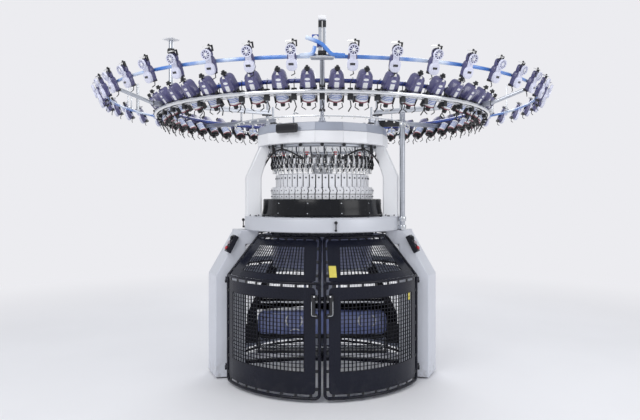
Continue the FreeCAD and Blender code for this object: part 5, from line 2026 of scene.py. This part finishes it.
@dataclass
class Masts:
    """The mast at the left rear, the column at the right with its beam, and the rods."""

    mast_azimuth: float = -120.0
    mast_circle: float = 1.79
    mast_radius: float = 0.0225
    plate: float = 0.13
    column_azimuth: float = 70.6
    column_circle: float = 0.704
    rods: tuple[Colour, ...] = (
        (-98.2, 0.006, 0.24), (-96.0, 0.006, 0.24), (-102.0, 0.014, 0.25), (102.0, 0.006, 0.24),
        (110.0, 0.014, 0.25)
    )

    def build(self) -> None:
        """Makes the pieces."""
        low, high = span("rear_mast")
        at = standing(self.mast_azimuth, self.mast_circle)
        r = self.mast_radius
        tube = Blank().turn([
            (r, low + 0.045), (r, high - 0.06), (r * 0.97, high - 0.058), (r * 0.97, high - 0.006)
        ], 24, at)
        tube.fit("mast_tube", Finishes.aluminium, "rear_mast")
        fittings = Blank().turn([
            (r, high - 0.15), (r + 0.01, high - 0.148), (r + 0.0125, high - 0.14),
            (r + 0.0125, high - 0.106), (r + 0.01, high - 0.1), (r, high - 0.098)
        ], 24, at)
        fittings.slab((-0.03, -0.032, low), (0.03, 0.036, low + 0.048), at, 0.006)
        fittings.slab((-0.012, -0.044, high - 0.138), (0.012, -0.026, high - 0.108), at, 0.003)
        fittings.fit("mast_fittings", Finishes.black)
        half = self.plate / 2
        flat = Blank().slab((-half, -half, high - 0.008), (half, half, high), at, 0.006)
        flat.turn([(r + 0.02, high - 0.012), (r + 0.02, high - 0.008)], 20, at)
        flat.fit("mast_plate", Finishes.label)

        low, high = span("side_column")
        at = standing(self.column_azimuth, self.column_circle)
        column = Blank().turn([(r, low), (r, high - 0.004), (r * 0.8, high), (0.0, high)], 24, at)
        column.fit("column_tube", Finishes.aluminium, "side_column")
        collars = Blank()
        for height in (PLAN.bed[0] + 0.004, PLAN.bed[1] - 0.04, PLAN.crown[1] - 0.006):
            collars.turn([
                (r, height), (r + 0.008, height), (r + 0.009, height + 0.004),
                (r + 0.009, height + 0.034), (r + 0.007, height + 0.038), (r, height + 0.038)
            ], 24, at)
        collars.slab(
            (-0.016, -0.0005, PLAN.bed[0] + 0.01), (0.016, 0.04, PLAN.bed[0] + 0.036), at, 0.003
        )
        collars.fit("column_collars", Finishes.bright)
        soften("column_beam", "beam_bar", Finishes.black, 0.003)

        top = PLAN.outer_ring[1]
        rods = Blank()
        for azimuth, radius, height in self.rods:
            rods.turn([
                (radius, top - 0.004), (radius, top + height - 0.004), (radius * 0.7, top + height)
            ], 12, standing(azimuth, PLAN.outer_radius))
            rods.slab(
                (-radius - 0.008, -0.016, top - 0.002), (radius + 0.008, 0.016, top + 0.014),
                standing(azimuth, PLAN.outer_radius), 0.004
            )
        rods.fit("ring_rods", Finishes.bright)


@dataclass
class Lamp:
    """Glossy lamp box on the crown, its pipe and the signal lenses."""

    azimuth: float = -28.1
    apothem: float = 0.566

    def build(self) -> None:
        """Makes the pieces."""
        soften("lamp_box", "lamp_housing", Finishes.black_gloss, 0.018, 5)
        high = span("lamp_box")[1]
        radius = self.apothem * math.cos(math.radians(180 / CROWN_SIDES)) + 0.04
        at = standing(self.azimuth, radius)
        pipe = Blank().tube(arc_path(through(
            at, (0.055, 0.02, high - 0.004), (0.055, 0.02, high + 0.06), (0.05, 0.05, high + 0.085),
            (0.04, 0.11, high + 0.088)
        ), 5), 0.006, 10)
        pipe.fit("lamp_pipe", Finishes.bright)
        lens = Blank().plate(
            shifted(rounded(0.15, 0.02, 0.008), 0.0, high - 0.02), 0.003, at, -0.0005
        )
        lens.fit("lamp_lens", Finishes.window)


# ---------------------------------------------------------------- take-down

@dataclass
class TakeDown:
    """Hanging arms with their beam, bowl, glossy casing, end boxes, rollers and shaft."""

    bowl_radius: float = 0.43
    bowl: Point2 = (0.886, 1.16)
    corner: float = 0.052
    # Outer and inner radius of the painted highlight curves on the casing.
    shine: Point2 = (0.057, 0.049)
    beam: Point2 = (0.55, 0.607)
    rollers: tuple[tuple[str, str, Finish], ...] = (
        ("draw_roller_front", "front_roller", Finishes.rubber),
        ("draw_roller_rear", "rear_roller", Finishes.rubber),
        ("winding_shaft", "winding", Finishes.bright)
    )

    def build(self) -> None:
        """Makes the pieces."""
        soften("takedown_posts", "takedown_arms", Finishes.gate_tube, 0.004, body=CYLINDER)
        self.under_gear()
        self.cover().fit(
            "takedown_cover", Finishes.casing, "takedown_casing", body=CYLINDER, crease=50
        )
        self.trim()
        soften("takedown_frame", "takedown_end_boxes", Finishes.black, 0.005, body=CYLINDER)
        for node, body, finish in self.rollers:
            self.roller(node, body, finish)

    def under_gear(self) -> None:
        """Round bowl that the arms come out of, with its bright rim."""
        low, high = self.bowl
        r = self.bowl_radius
        shell = Blank().turn([
            (0.3, high), (r - 0.004, high), (r - 0.001, high - 0.004), (r, high - 0.06),
            (r, low + 0.05), (r - 0.004, low + 0.02), (r - 0.016, low + 0.006), (r - 0.05, low),
            (0.3, low)
        ], SMOOTH, Matrix.Identity(4))
        shell.fit("spreader_bowl", Finishes.bowl, body=CYLINDER)
        rim = Blank().hoop(oblong(r - 0.01, r + 0.003, low + 0.012, low + 0.022), SMOOTH)
        rim.fit("bowl_rim", Finishes.aluminium, body=CYLINDER)

    def cover(self) -> Blank:
        """Casing with round corners and pillowed faces.

        Returns:
            The blank.
        """
        low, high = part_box("takedown_casing")
        middle = (low.z + high.z) / 2
        rings = []
        for inset, y in ((0.034, 0.0), (0.012, 0.006), (0.002, 0.02), (0.0, 0.04)):
            rings.append((inset, low.y + y))
        rings += [(inset, -y) for inset, y in rings[::-1]]
        wide, tall = high.x - low.x - 0.002, high.z - low.z
        skins = []
        for inset, y in rings:
            outline = rounded(wide - 2 * inset, tall - 2 * inset, self.corner - inset, 6)
            skins.append([Vector((x, y, middle + z)) for x, z in outline])
        return Blank().loft(skins)

    def trim(self) -> None:
        """Painted highlights on the casing, as white curves, streaks and a crescent; the beam's
        bright rail and the stays of the end boxes.
        """
        low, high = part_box("takedown_casing")
        middle = (low.z + high.z) / 2 + 0.022
        # The white plates gathered here are painted highlights on the glossy casing.
        painted_highlights = Blank()
        stays = Blank()
        rails = Blank()
        beam_low, beam_high = self.beam
        outer, inner = self.shine
        for turn in (0.0, 180.0):
            face = standing(turn, -low.y)
            for across, opens in ((-0.262, -1), (-0.216, 1), (0.352, -1), (0.404, 1)):
                start = math.pi * (0.66 if opens < 0 else -0.34)
                angles = [start + math.pi * 0.68 * k / 10 for k in range(11)]
                ring = []
                for radius, narrow, order in ((outer, 0.9, angles), (inner, 0.78, angles[::-1])):
                    ring += [
                        (across + radius * math.cos(a) * narrow, middle + radius * math.sin(a))
                        for a in order
                    ]
                painted_highlights.plate(ring, 0.006, face, -0.0015)
            for x, tilt in ((-0.5, 0.016), (-0.472, -0.012), (0.5, 0.0)):
                painted_highlights.plate([
                    (x - 0.012, low.z + 0.13 + tilt), (x + 0.002, low.z + 0.13),
                    (x + 0.014, high.z - 0.05), (x, high.z - 0.036)
                ], 0.012, face, 0.0)
            crescent = []
            for wide, tall, order in ((0.042, 0.02, range(9)), (0.03, 0.01, range(8, -1, -1))):
                for angle in (math.pi * k / 8 for k in order):
                    across = -0.228 + wide * math.cos(angle)
                    crescent.append((across, low.z + 0.034 + tall * math.sin(angle)))
            painted_highlights.plate(crescent, 0.008, face, -0.0005)
            depth = -0.09 if turn == 0.0 else 0.09
            for side in (-1, 1):
                stays.tube([
                    Vector(point)
                    for point in (
                        (side * 0.64, depth, 0.246), (side * 0.235, depth * 1.25, low.z - 0.005),
                        (side * 0.05, depth * 1.25, low.z - 0.006)
                    )
                ], 0.0055, 8)
            rails.slab(
                (-0.528, -0.0008, (beam_low + beam_high) / 2 - 0.002),
                (0.528, 0.002, beam_high - 0.014), standing(turn, 0.045)
            )
        painted_highlights.fit("casing_arcs", Finishes.label, body=CYLINDER)
        stays.fit("casing_stays", Finishes.black, body=CYLINDER)
        rails.fit("beam_rails", Finishes.bright, body=CYLINDER)

    def roller(self, node: str, body: str, finish: Finish) -> None:
        """Round shaft along X with journals.

        Args:
            node: the CAD node it stands for.
            body: what it rides on.
            finish: of its face.
        """
        low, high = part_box(node)
        middle = (low + high) / 2
        radius = (high.z - low.z) / 2
        half = (high.x - low.x) / 2
        at = Matrix.Translation(middle) @ Matrix.Rotation(math.pi / 2, 4, "Y")
        profile = [
            (radius * 0.5, -half), (radius * 0.5, -half + 0.02), (radius * 0.98, -half + 0.021),
            (radius, -half + 0.024), (radius, half - 0.024), (radius * 0.98, half - 0.021),
            (radius * 0.5, half - 0.02), (radius * 0.5, half)
        ]
        shaft = Blank().turn(profile, 32, at)
        shaft.spokes(12, (radius * 0.94, -0.0012, -half + 0.03), (radius, 0.0012, half - 0.03), at)
        shaft.fit(f"{node}_face", finish, node, body=body)


# ---------------------------------------------------------------- gates

class Side(Enum):
    """The two doors, with the sign of their azimuths."""

    LEFT = -1
    RIGHT = 1


@dataclass(frozen=True)
class GateLine:
    """A door's side line in (radius, height): upright to the knee, then leaning in to the rim."""

    radius: float = 0.85
    bottom: float = 0.02
    knee: float = 0.864
    rim_radius: float = 0.585
    rim_height: float = 1.178

    @property
    def slope(self) -> Point2:
        """Unit direction of the leaning part.

        Returns:
            The radius and the height.
        """
        run, climb = self.rim_radius - self.radius, self.rim_height - self.knee
        length = math.hypot(run, climb)
        return run / length, climb / length

    @property
    def end(self) -> float:
        """Distance along the line to the rim."""
        return self.knee + math.hypot(self.radius - self.rim_radius, self.rim_height - self.knee)

    def at(self, along: float, off: float = 0.0) -> Point2:
        """(radius, height) at a distance along the line and off it outwards.

        Args:
            along: distance along the line.
            off: distance off it, outwards.

        Returns:
            The radius and the height.
        """
        if along <= self.knee:
            return self.radius + off, along
        run, climb = self.slope
        past = along - self.knee
        return self.radius + run * past + climb * off, self.knee + climb * past - run * off

    def bend(self, off: float) -> Point2:
        """(radius, height) of the mitred knee, off the line.

        Args:
            off: distance off it, outwards.

        Returns:
            The radius and the height.
        """
        run, climb = self.slope
        scale = off / (1 + climb)
        return self.radius + (1 + climb) * scale, self.knee - run * scale

    def strip(self, low: float, high: float, thickness: float) -> list[Point2]:
        """Outline of a strip from one distance to another.

        Args:
            low: where it starts.
            high: where it ends.
            thickness: of the strip.

        Returns:
            The corners.
        """
        half = thickness / 2
        front = [self.at(low, half)]
        back = [self.at(low, -half)]
        if low < self.knee < high:
            front.append(self.bend(half))
            back.append(self.bend(-half))
        return front + [self.at(high, half), self.at(high, -half)] + back[::-1]


@dataclass
class Guard:
    """Tube frame with two perforated sheets on rubber studs, and a tube at the knee."""

    side: Side
    name: str
    body: str
    frame_node: str
    sheet_node: str
    start: float
    end: float
    left: float
    right: float
    hood_right: float
    inset: float
    lower_cells: tuple[int, int]
    hood_cells: tuple[int, int]
    line: GateLine = field(default_factory=GateLine)
    tube: float = 0.0245
    slot: float = 0.016
    sheet: float = 0.003
    corner: float = 0.034
    lower: Point2 = (0.224, 0.745)
    hood: Point2 = (0.936, 1.186)
    bar: float = 0.0088
    panel_finish: Finish = Finishes.gate
    mesh_finish: Finish = Finishes.gate_mesh
    slot_name: str = "blue_black_enamel"

    def place(self, azimuth: float, along: float, off: float = 0.0) -> Vector:
        """Point on the guard."""
        radius, height = self.line.at(along, off)
        return polar(self.side.value * azimuth, radius, height)

    def build(self) -> None:
        """Makes the pieces."""
        self.tubes().fit(
            f"{self.name}_tubes", Finishes.gate_tube, self.frame_node, body=self.body, crease=50
        )
        self.panel().fit(
            f"{self.name}_sheet", self.panel_finish, self.sheet_node, body=self.body,
            slot=self.slot_name
        )
        self.lattice()
        self.studs().fit(f"{self.name}_studs", Finishes.black, body=self.body)

    def tubes(self) -> Blank:
        """Bent tube round the guard and the tube along its knee.

        Returns:
            The blank.
        """
        inset = self.tube / 2
        turn = math.degrees(inset / self.line.radius)
        first, last = self.start + turn, self.end - turn
        low, high = self.line.bottom + inset, self.line.end - 0.001
        swing = math.degrees(self.corner / self.line.radius)
        rim_swing = math.degrees(self.corner / self.line.rim_radius)
        path = []

        def bend(azimuth: float, along: float, quarter: int, reach_: float) -> None:
            """Adds a round corner to the path.

            Args:
                azimuth: where it stands.
                along: distance along the line.
                quarter: which quarter of a turn it starts with.
                reach_: its size, in degrees.
            """
            for step in range(6):
                angle = math.pi / 2 * (quarter + step / 5)
                path.append(self.place(
                    azimuth + reach_ * math.cos(angle), along + self.corner * math.sin(angle)
                ))

        def post(azimuth: float, upwards: bool) -> None:
            """Adds an upright to the path.

            Args:
                azimuth: where it stands.
                upwards: whether the path runs up here.
            """
            stops = [self.line.bottom + 0.2, 0.45, 0.7] + [
                self.line.knee + d for d in (-0.03, -0.015, 0.0, 0.015, 0.03)
            ]
            stops += [self.line.knee + 0.14, self.line.knee + 0.28]
            for along in stops if upwards else stops[::-1]:
                path.append(self.place(azimuth, along))

        def arc(first_: float, last_: float, along: float) -> list[Vector]:
            """Points of a level line."""
            return [self.place(azimuth, along) for azimuth in evenly(first_, last_, 40)]

        bend(last - swing, low + self.corner, 3, swing)
        post(last, True)
        bend(last - rim_swing, high - self.corner, 0, rim_swing)
        path += arc(last - rim_swing, first + rim_swing, high)[1:-1]
        bend(first + rim_swing, high - self.corner, 1, rim_swing)
        post(first, False)
        bend(first + swing, low + self.corner, 2, swing)
        path += arc(first + swing, last - swing, low)[1:-1]
        blank = Blank().tube(path, self.tube / 2, 12, endless=True)
        return blank.tube(arc(first, last, self.line.knee), self.tube / 2 - 0.0015, 12)

    def edge(self, azimuth: float, first: float, last: float) -> float:
        """How far the sheet's ends draw in near its corners.

        Args:
            azimuth: where it stands.
            first: azimuth of the sheet's first end.
            last: azimuth of its other end.

        Returns:
            The distance, 0 away from the corners.
        """
        near = math.radians(min(azimuth - first, last - azimuth)) * self.line.radius
        if near >= self.corner:
            return 0.0
        return self.corner - math.sqrt(max(0.0, self.corner ** 2 - (self.corner - near) ** 2))

    def ring(self, share: float, low: float, high: float, stop: float) -> list[Vector]:
        """Section of the hood's sheet, between the window's near edge and an azimuth.

        Args:
            share: 0 at the near edge, which keeps its distance from the gap, and 1 at the azimuth.
            low: distance along the line where the section starts.
            high: where it ends.
            stop: the azimuth.

        Returns:
            Its corners.
        """
        corners = []
        for radius, height in self.line.strip(low, high, self.sheet):
            near = self.left if not self.inset else math.degrees(math.asin(self.inset / radius))
            corners.append(polar(self.side.value * (near + (stop - near) * share), radius, height))
        return corners

    def panel(self) -> Blank:
        """Sheets with rounded corners round the two windows.

        Returns:
            The blank.
        """
        gap = math.degrees((self.tube + self.slot) / self.line.radius)
        first, last = self.start + gap, self.end - gap
        blank = Blank()
        corners = (0.0, 0.15, 0.5, 1.0, 2.0)
        low = self.line.bottom + self.tube + self.slot
        high = self.line.knee - self.tube / 2 - self.slot
        for stops in (
            [first + d for d in corners] + [self.left], [self.right]
            + [last - d for d in corners[::-1]]
        ):
            rings = []
            for azimuth in stops:
                cut = self.edge(azimuth, first, last)
                rings.append([
                    polar(self.side.value * azimuth, radius, height)
                    for radius, height in self.line.strip(low + cut, high - cut, self.sheet)
                ])
            blank.loft(rings)
        for bottom, top in ((low, self.lower[0]), (self.lower[1], high)):
            blank.loft([
                [
                    polar(self.side.value * azimuth, radius, height)
                    for radius, height in self.line.strip(bottom, top, self.sheet)
                ] for azimuth in evenly(self.left, self.right, 27)
            ])
        low = self.line.knee + self.tube / 2 + 0.001
        high = self.line.end - self.tube / 2 - self.slot
        rings = []
        for azimuth in [first + d for d in corners]:
            cut = self.edge(azimuth, first, last)
            rings.append(self.ring(1.0, low + cut * 0.5, high - cut, azimuth))
        blank.loft(rings + [self.ring(0.0, low, high, self.right)])
        rings = []
        for azimuth in [self.hood_right] + [last - d for d in corners[::-1]]:
            cut = self.edge(azimuth, first, last)
            rings.append(self.ring(1.0, low + cut * 0.5, high - cut, azimuth))
        blank.loft(rings)
        for bottom, top in ((low, self.hood[0]), (self.hood[1], high)):
            blank.loft([self.ring(k / 24, bottom, top, self.hood_right) for k in range(25)])
        return blank

    def lattice(self) -> None:
        """Square holes of the two windows."""
        grid = Blank()
        for window, (low, high), (across, up) in (
            (0, self.lower, self.lower_cells), (1, self.hood, self.hood_cells)
        ):
            start = len(grid.points)
            for row in range(up + 1):
                along = low + (high - low) * row / up
                near = self.left
                if window and self.inset:
                    near = math.degrees(math.asin(self.inset / self.line.at(along)[0]))
                far = self.hood_right if window else self.right
                for azimuth in evenly(near, far, across):
                    grid.points.append(self.place(azimuth, along))
            for row in range(up):
                for column in range(across):
                    corner = start + row * (across + 1) + column
                    grid.faces.append(
                        (corner, corner + 1, corner + across + 2, corner + across + 1)
                    )
        sheet = grid.piece(f"{self.name}_lattice", self.mesh_finish)
        bars = WIRE_TREE.run(sheet, self.mesh_finish, Width=self.bar, Depth=self.sheet * 0.9)
        settle(bars, self.body, "blue_black_enamel", self.sheet_node)

    def studs(self) -> Blank:
        """Rubber studs in the gap between tubes and sheets.

        Returns:
            The blank.
        """
        blank = Blank()
        gap = math.degrees((self.tube + self.slot / 2) / self.line.radius)
        for azimuth in (self.start + gap, self.end - gap):
            for along in (0.1, 0.23, 0.36, 0.49, 0.62, 0.75, 0.93, 1.05, 1.17):
                self.block(blank, azimuth, along, (0.0175, 0.008, 0.022))
        foot = self.line.bottom + self.tube + self.slot / 2
        knee = self.line.knee - self.tube / 2 - self.slot / 2
        rim = self.line.end - self.tube / 2 - self.slot / 2
        for azimuth in evenly(self.start + 5.0, self.end - 5.0, 7):
            for along in (foot, knee, rim):
                self.block(blank, azimuth, along, (0.02, 0.008, 0.0175))
        return blank

    def block(
        self, blank: Blank, azimuth: float, along: float, size: Colour, off: float = 0.0
    ) -> None:
        """Adds a small block on the guard's surface, square to it.

        Args:
            blank: what it is added to.
            azimuth: where it stands.
            along: distance along the line.
            size: its width, depth and height.
            off: distance off it, outwards.
        """
        radius, height = self.line.at(along, off)
        run, climb = self.line.slope
        tilt = 0.0 if along <= self.line.knee else math.atan2(-run, climb)
        at = standing(self.side.value * azimuth, radius, height) @ Matrix.Rotation(-tilt, 4, "X")
        wide, deep, tall = size
        bevel = min(wide, deep) * 0.2
        blank.slab((-wide / 2, -deep / 2, -tall / 2), (wide / 2, deep / 2, tall / 2), at, bevel)


class Gate(Guard):
    """One door: a guard with hinge knuckles, handle and latch."""

    def __init__(self, side: Side) -> None:
        """Sets up the door of a side.

        Args:
            side: left or right.
        """
        name = f"gate_{side.name.lower()}"
        super().__init__(
            side, name, name, f"{name}_frame", f"{name}_panel", start=0.5, end=63.0, left=8.9,
            right=55.4, hood_right=50.2333, inset=0.1315, lower_cells=(23, 18), hood_cells=(20, 9)
        )
        self.label = side.name.lower()

    def build(self) -> None:
        """Makes the pieces."""
        super().build()
        soften(f"{self.name}_handle", f"{self.name}_grip", Finishes.black, 0.005, 3, body=self.body)
        # The trim is a painted highlight along the edge of the handle.
        self.trim().fit(f"{self.name}_trim", Finishes.bright, body=self.body)
        self.latch().fit(f"{self.name}_latch", Finishes.gate_tube, body=self.body)
        self.dots().fit(f"{self.name}_dots", Finishes.label, body=self.body)
        if self.side is Side.RIGHT:
            fields = Blank()
            self.block(fields, 5.6, 0.964, (0.054, 0.0012, 0.1), 0.0022)
            self.block(fields, 52.6, 0.719, (0.034, 0.0012, 0.056), 0.0022)
            fields.fit("plain_yellow_fields", Finishes.yellow, body=self.body)

    def tubes(self) -> Blank:
        """The guard's tubes and the knuckles with their arms.

        Returns:
            The blank.
        """
        blank = super().tubes()
        hinge = next(
            joint for joint in frame["joints"] if joint["name"] == f"{self.label}_gate_swing"
        )
        pivot = Vector(hinge["pos_m"])
        for height in (0.1103, 0.8123):
            pin = Matrix.Translation((pivot.x, pivot.y, height))
            blank.turn([(0.0165, 0.0), (0.0165, 0.034)], 20, pin)
            wall = polar(self.side.value * (self.end - 0.4), self.line.radius - 0.004)
            start = Vector((wall.x, wall.y, height + 0.017))
            blank.tube([start, Vector((pivot.x, pivot.y, height + 0.017))], 0.012, 10)
        return blank

    def trim(self) -> Blank:
        """Bright steel edge down the outside of the handle and round its foot: a painted highlight
        on the handle's edge.

        Returns:
            The blank.
        """
        low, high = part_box(self.handle)
        sign = self.side.value
        outer = high.x if sign > 0 else low.x
        x = outer - sign * 0.004
        bend = 0.014
        foot = low.z + 0.004
        path = [Vector((x, low.y, high.z - 0.044))]
        for step in range(6):
            angle = math.pi / 2 * step / 5
            height = foot + bend * (1 - math.sin(angle))
            path.append(Vector((x - sign * bend * (1 - math.cos(angle)), low.y, height)))
        path.append(Vector((x - sign * 0.036, low.y, foot)))
        return Blank().tube(path, 0.0026, 8)

    @property
    def handle(self) -> str:
        """The handle's CAD node."""
        return f"{self.name}_handle"

    def latch(self) -> Blank:
        """Rounded plate at the knee, beside the gap between the doors.

        Returns:
            The blank.
        """
        at = standing(
            self.side.value * 1.75, self.line.radius + self.tube / 2 + 0.001, self.line.knee - 0.02
        )
        plate = Blank().cushion(rounded(0.04, 0.046, 0.014), 0.008, at, -0.004, 0.002)
        plate.slab((-0.012, -0.014, -0.012), (0.012, -0.002, 0.01), at, 0.004)
        return plate

    def dots(self) -> Blank:
        """White cap of the handle's upper screw.

        Returns:
            The blank.
        """
        low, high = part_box(self.handle)
        across = (low.x + high.x) / 2 + self.side.value * 0.002
        at = facing(Matrix.Translation((across, low.y, high.z - 0.009)))
        return Blank().turn([(0.006, -0.002), (0.006, 0.001), (0.004, 0.002), (0.0, 0.002)], 12, at)


class RearGuard(Guard):
    """A guard that closes a rear bay, painted pale: painted light for the brightness seen behind
    the gates.
    """

    def __init__(self, side: Side) -> None:
        """Sets up the guard of a side."""
        super().__init__(
            side, f"rear_guard_{side.name.lower()}", BODY, "rear_guards", "rear_guards", start=86.8,
            end=172.0, left=91.5, right=167.4, hood_right=167.4, inset=0.0, lower_cells=(38, 18),
            hood_cells=(34, 9), bar=0.0045, panel_finish=Finishes.rear_sheet,
            mesh_finish=Finishes.rear_mesh, slot_name="grey_enamel"
        )


# ---------------------------------------------------------------- controls

@dataclass
class Controls:
    """Button boxes on the legs with their three buttons each, and the hand levers on the bed."""

    finishes: dict[str, Finish] = field(default_factory=lambda: {
        "jog": Finishes.black, "start": Finishes.button_grey, "stop": Finishes.red
    })
    slots: dict[str, str] = field(default_factory=lambda: {
        "jog": "black_plastic", "start": "grey_plastic", "stop": "red_plastic"
    })
    radius: float = 0.0148
    height: float = 0.0155
    levers: dict[str, float] = field(default_factory=lambda: {"front": 8.8, "left": -86.0})
    lever_height: float = 1.236
    ball: float = 0.0129

    def build(self) -> None:
        """Makes the pieces."""
        soften("button_boxes", "button_housings", Finishes.gate_tube, 0.003, 2, slot="white_enamel")
        for side in Side:
            for use in self.finishes:
                self.button(use, side.name.lower())
        for label, azimuth in self.levers.items():
            self.lever(label, azimuth)

    def button(self, use: str, side: str) -> None:
        """Turned cap with a dished top.

        Args:
            use: which button.
            side: left or right.
        """
        node = f"{use}_button_{side}"
        joint = next(j for j in frame["joints"] if j["name"] == f"{use}_{side}_press")
        down = Vector(joint["axis"]).normalized()
        low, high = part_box(node)
        at = Matrix.Translation((low + high) / 2) @ (-down).to_track_quat(
            "Z", "Y"
        ).to_matrix().to_4x4()
        r, half = self.radius, self.height / 2
        cap = Blank().turn([
            (r - 0.0042, -half), (r, -half + 0.0042), (r, half - 0.004), (r * 0.93, half - 0.0012),
            (r * 0.82, half), (r * 0.6, half - 0.0012), (0.0, half - 0.0016)
        ], 28, at)
        cap.fit(f"{node}_cap", self.finishes[use], node, body=f"{use}_{side}", slot=self.slots[use])

    def lever(self, label: str, azimuth: float) -> None:
        """Hub, curved bar and ball.

        Args:
            label: front or left.
            azimuth: where it stands.
        """
        node = f"{label}_lever"
        base = PLAN.bed_radius + 0.0004
        hub = outward(azimuth, base, self.lever_height)
        high = span(node)[1]
        middle = base + 0.013
        blank = Blank().turn(
            [(0.0085, 0.0), (0.0085, 0.016), (0.007, 0.019), (0.0, 0.0195)], 20, hub
        )
        blank.tube([
            polar(azimuth, middle, self.lever_height), polar(azimuth, middle, high - 0.02)
        ], 0.0045, 10)
        centre = Matrix.Translation(polar(azimuth, middle, high - 0.013))
        turns = [math.pi * k / 10 for k in range(11)]
        ball = [(self.ball * math.sin(a), -self.ball * math.cos(a)) for a in turns]
        blank.turn(ball, 20, centre)
        blank.fit(f"{node}_arm", Finishes.black, node, body=f"lever_{label}")


# ---------------------------------------------------------------- studio

@dataclass
class Studio:
    """Plain pale floor that fades into the background, soft lamps and the fitted camera."""

    background: Colour = paint(236, 236, 240)
    floor_colour: Colour = paint(240, 240, 243)
    floor_radius: float = 40.0
    fade: Point2 = (2.6, 7.0)
    lens: float = 32.34
    eye: Colour = (0.0, -5.0, 1.49)
    shift: Point2 = (-2.2 / IMAGE_WIDTH, -13.0 / IMAGE_WIDTH)
    fill: float = 0.66
    target: Colour = (0.0, 0.0, 1.3)
    sensor: float = 36.0
    farthest: float = 200.0
    lamps: tuple[tuple[str, Colour, float, float], ...] = (
        ("key_light", (-2.6, -4.6, 5.4), 3.4, 150.0),
        ("side_light", (4.4, -3.0, 3.6), 3.0, 66.0),
        ("rear_light", (0.5, 4.6, 4.8), 3.6, 90.0),
    )

    def build(self) -> None:
        """Makes the camera, the world, the floor and the lamps."""
        self.camera()
        self.world()
        self.floor()
        for name, spot, size, power in self.lamps:
            self.lamp(name, spot, size, power)

    def camera(self) -> None:
        """Level camera fitted to the circles of the machine."""
        data = bpy.data.cameras.new("camera")
        data.lens = self.lens
        data.sensor_width = self.sensor
        data.shift_x, data.shift_y = self.shift
        data.clip_end = self.farthest
        made = shown("camera", data)
        made.location = self.eye
        made.rotation_euler = (math.pi / 2, 0.0, 0.0)
        bpy.context.scene.camera = made

    def world(self) -> None:
        """Even sky whose seen colour is the background's."""
        world = bpy.data.worlds.new("world")
        bpy.context.scene.world = world
        world.use_nodes = True
        tree = world.node_tree
        tree.nodes.clear()
        seen = tree.nodes.new("ShaderNodeBackground")
        seen.inputs["Color"].default_value = opaque(self.background)
        seen.inputs["Strength"].default_value = 1.0
        light = tree.nodes.new("ShaderNodeBackground")
        light.inputs["Color"].default_value = (0.94, 0.96, 1.0, 1.0)
        light.inputs["Strength"].default_value = self.fill
        rays = tree.nodes.new("ShaderNodeLightPath")
        mix = tree.nodes.new("ShaderNodeMixShader")
        out = tree.nodes.new("ShaderNodeOutputWorld")
        tree.links.new(rays.outputs["Is Camera Ray"], mix.inputs[0])
        tree.links.new(light.outputs[0], mix.inputs[1])
        tree.links.new(seen.outputs[0], mix.inputs[2])
        tree.links.new(mix.outputs[0], out.inputs["Surface"])

    def floor(self) -> None:
        """Wide disc under the machine."""
        mesh = bpy.data.meshes.new("floor")
        points = [(x, y, -0.0005) for x, y in circle(self.floor_radius, SMOOTH)]
        mesh.from_pydata(points, [], [tuple(range(SMOOTH))])
        made = shown("floor", mesh)
        material = bpy.data.materials.new("floor")
        graph = Graph(material)
        flat = graph.node("ShaderNodeVectorMath", {"operation": "LENGTH"}, {0: graph.place})
        far = Signal(graph, flat.outputs["Value"]).ramp(*self.fade)
        mottled = graph.noise(0.7, 4.0).ramp(0.3, 0.7)
        graph.colour(graph.blend(mottled, darker(self.floor_colour, 0.97), self.floor_colour))
        graph.feed("Roughness", 0.55 + graph.noise(3.0, 3.0) * 0.15)
        glow = graph.node(
            "ShaderNodeEmission", {}, {"Color": opaque(self.background), "Strength": 1.0}
        )
        mixed = graph.node(
            "ShaderNodeMixShader", {}, {0: far, 1: graph.shader.outputs[0], 2: glow.outputs[0]}
        )
        graph.tree.links.new(mixed.outputs[0], graph.output.inputs["Surface"])
        mesh.materials.append(material)

    def lamp(self, name: str, spot: Colour, size: float, power: float) -> None:
        """Soft square lamp that looks at the machine's middle.

        Args:
            name: its name.
            spot: where it hangs.
            size: side of its square.
            power: in watts.
        """
        data = bpy.data.lights.new(name, "AREA")
        data.shape = "SQUARE"
        data.size = size
        data.energy = power
        made = shown(name, data)
        made.location = spot
        made.rotation_euler = (Vector(self.target) - Vector(spot)).to_track_quat(
            "-Z", "Y"
        ).to_euler()


def main() -> None:
    """Builds everything."""
    logging.basicConfig(level=logging.INFO, format="%(name)s: %(message)s")
    Studio().build()
    parts = [
        Legs(), Bed(), Uprights(), Crown(), Skirt(), Cams(), YarnGuides(), NeedleCylinder(),
        Drive(), Rings(), StorageFeeders(), RollerFeeders(), Head(), Masts(), Lamp(), TakeDown()
    ]
    parts += [Gate(side) for side in Side]
    parts += [RearGuard(side) for side in Side] + [Controls()]
    for part in parts:
        part.build()
    scene = bpy.context.scene
    scene.view_settings.view_transform = "Standard"


if __name__ == "__main__":
    main()
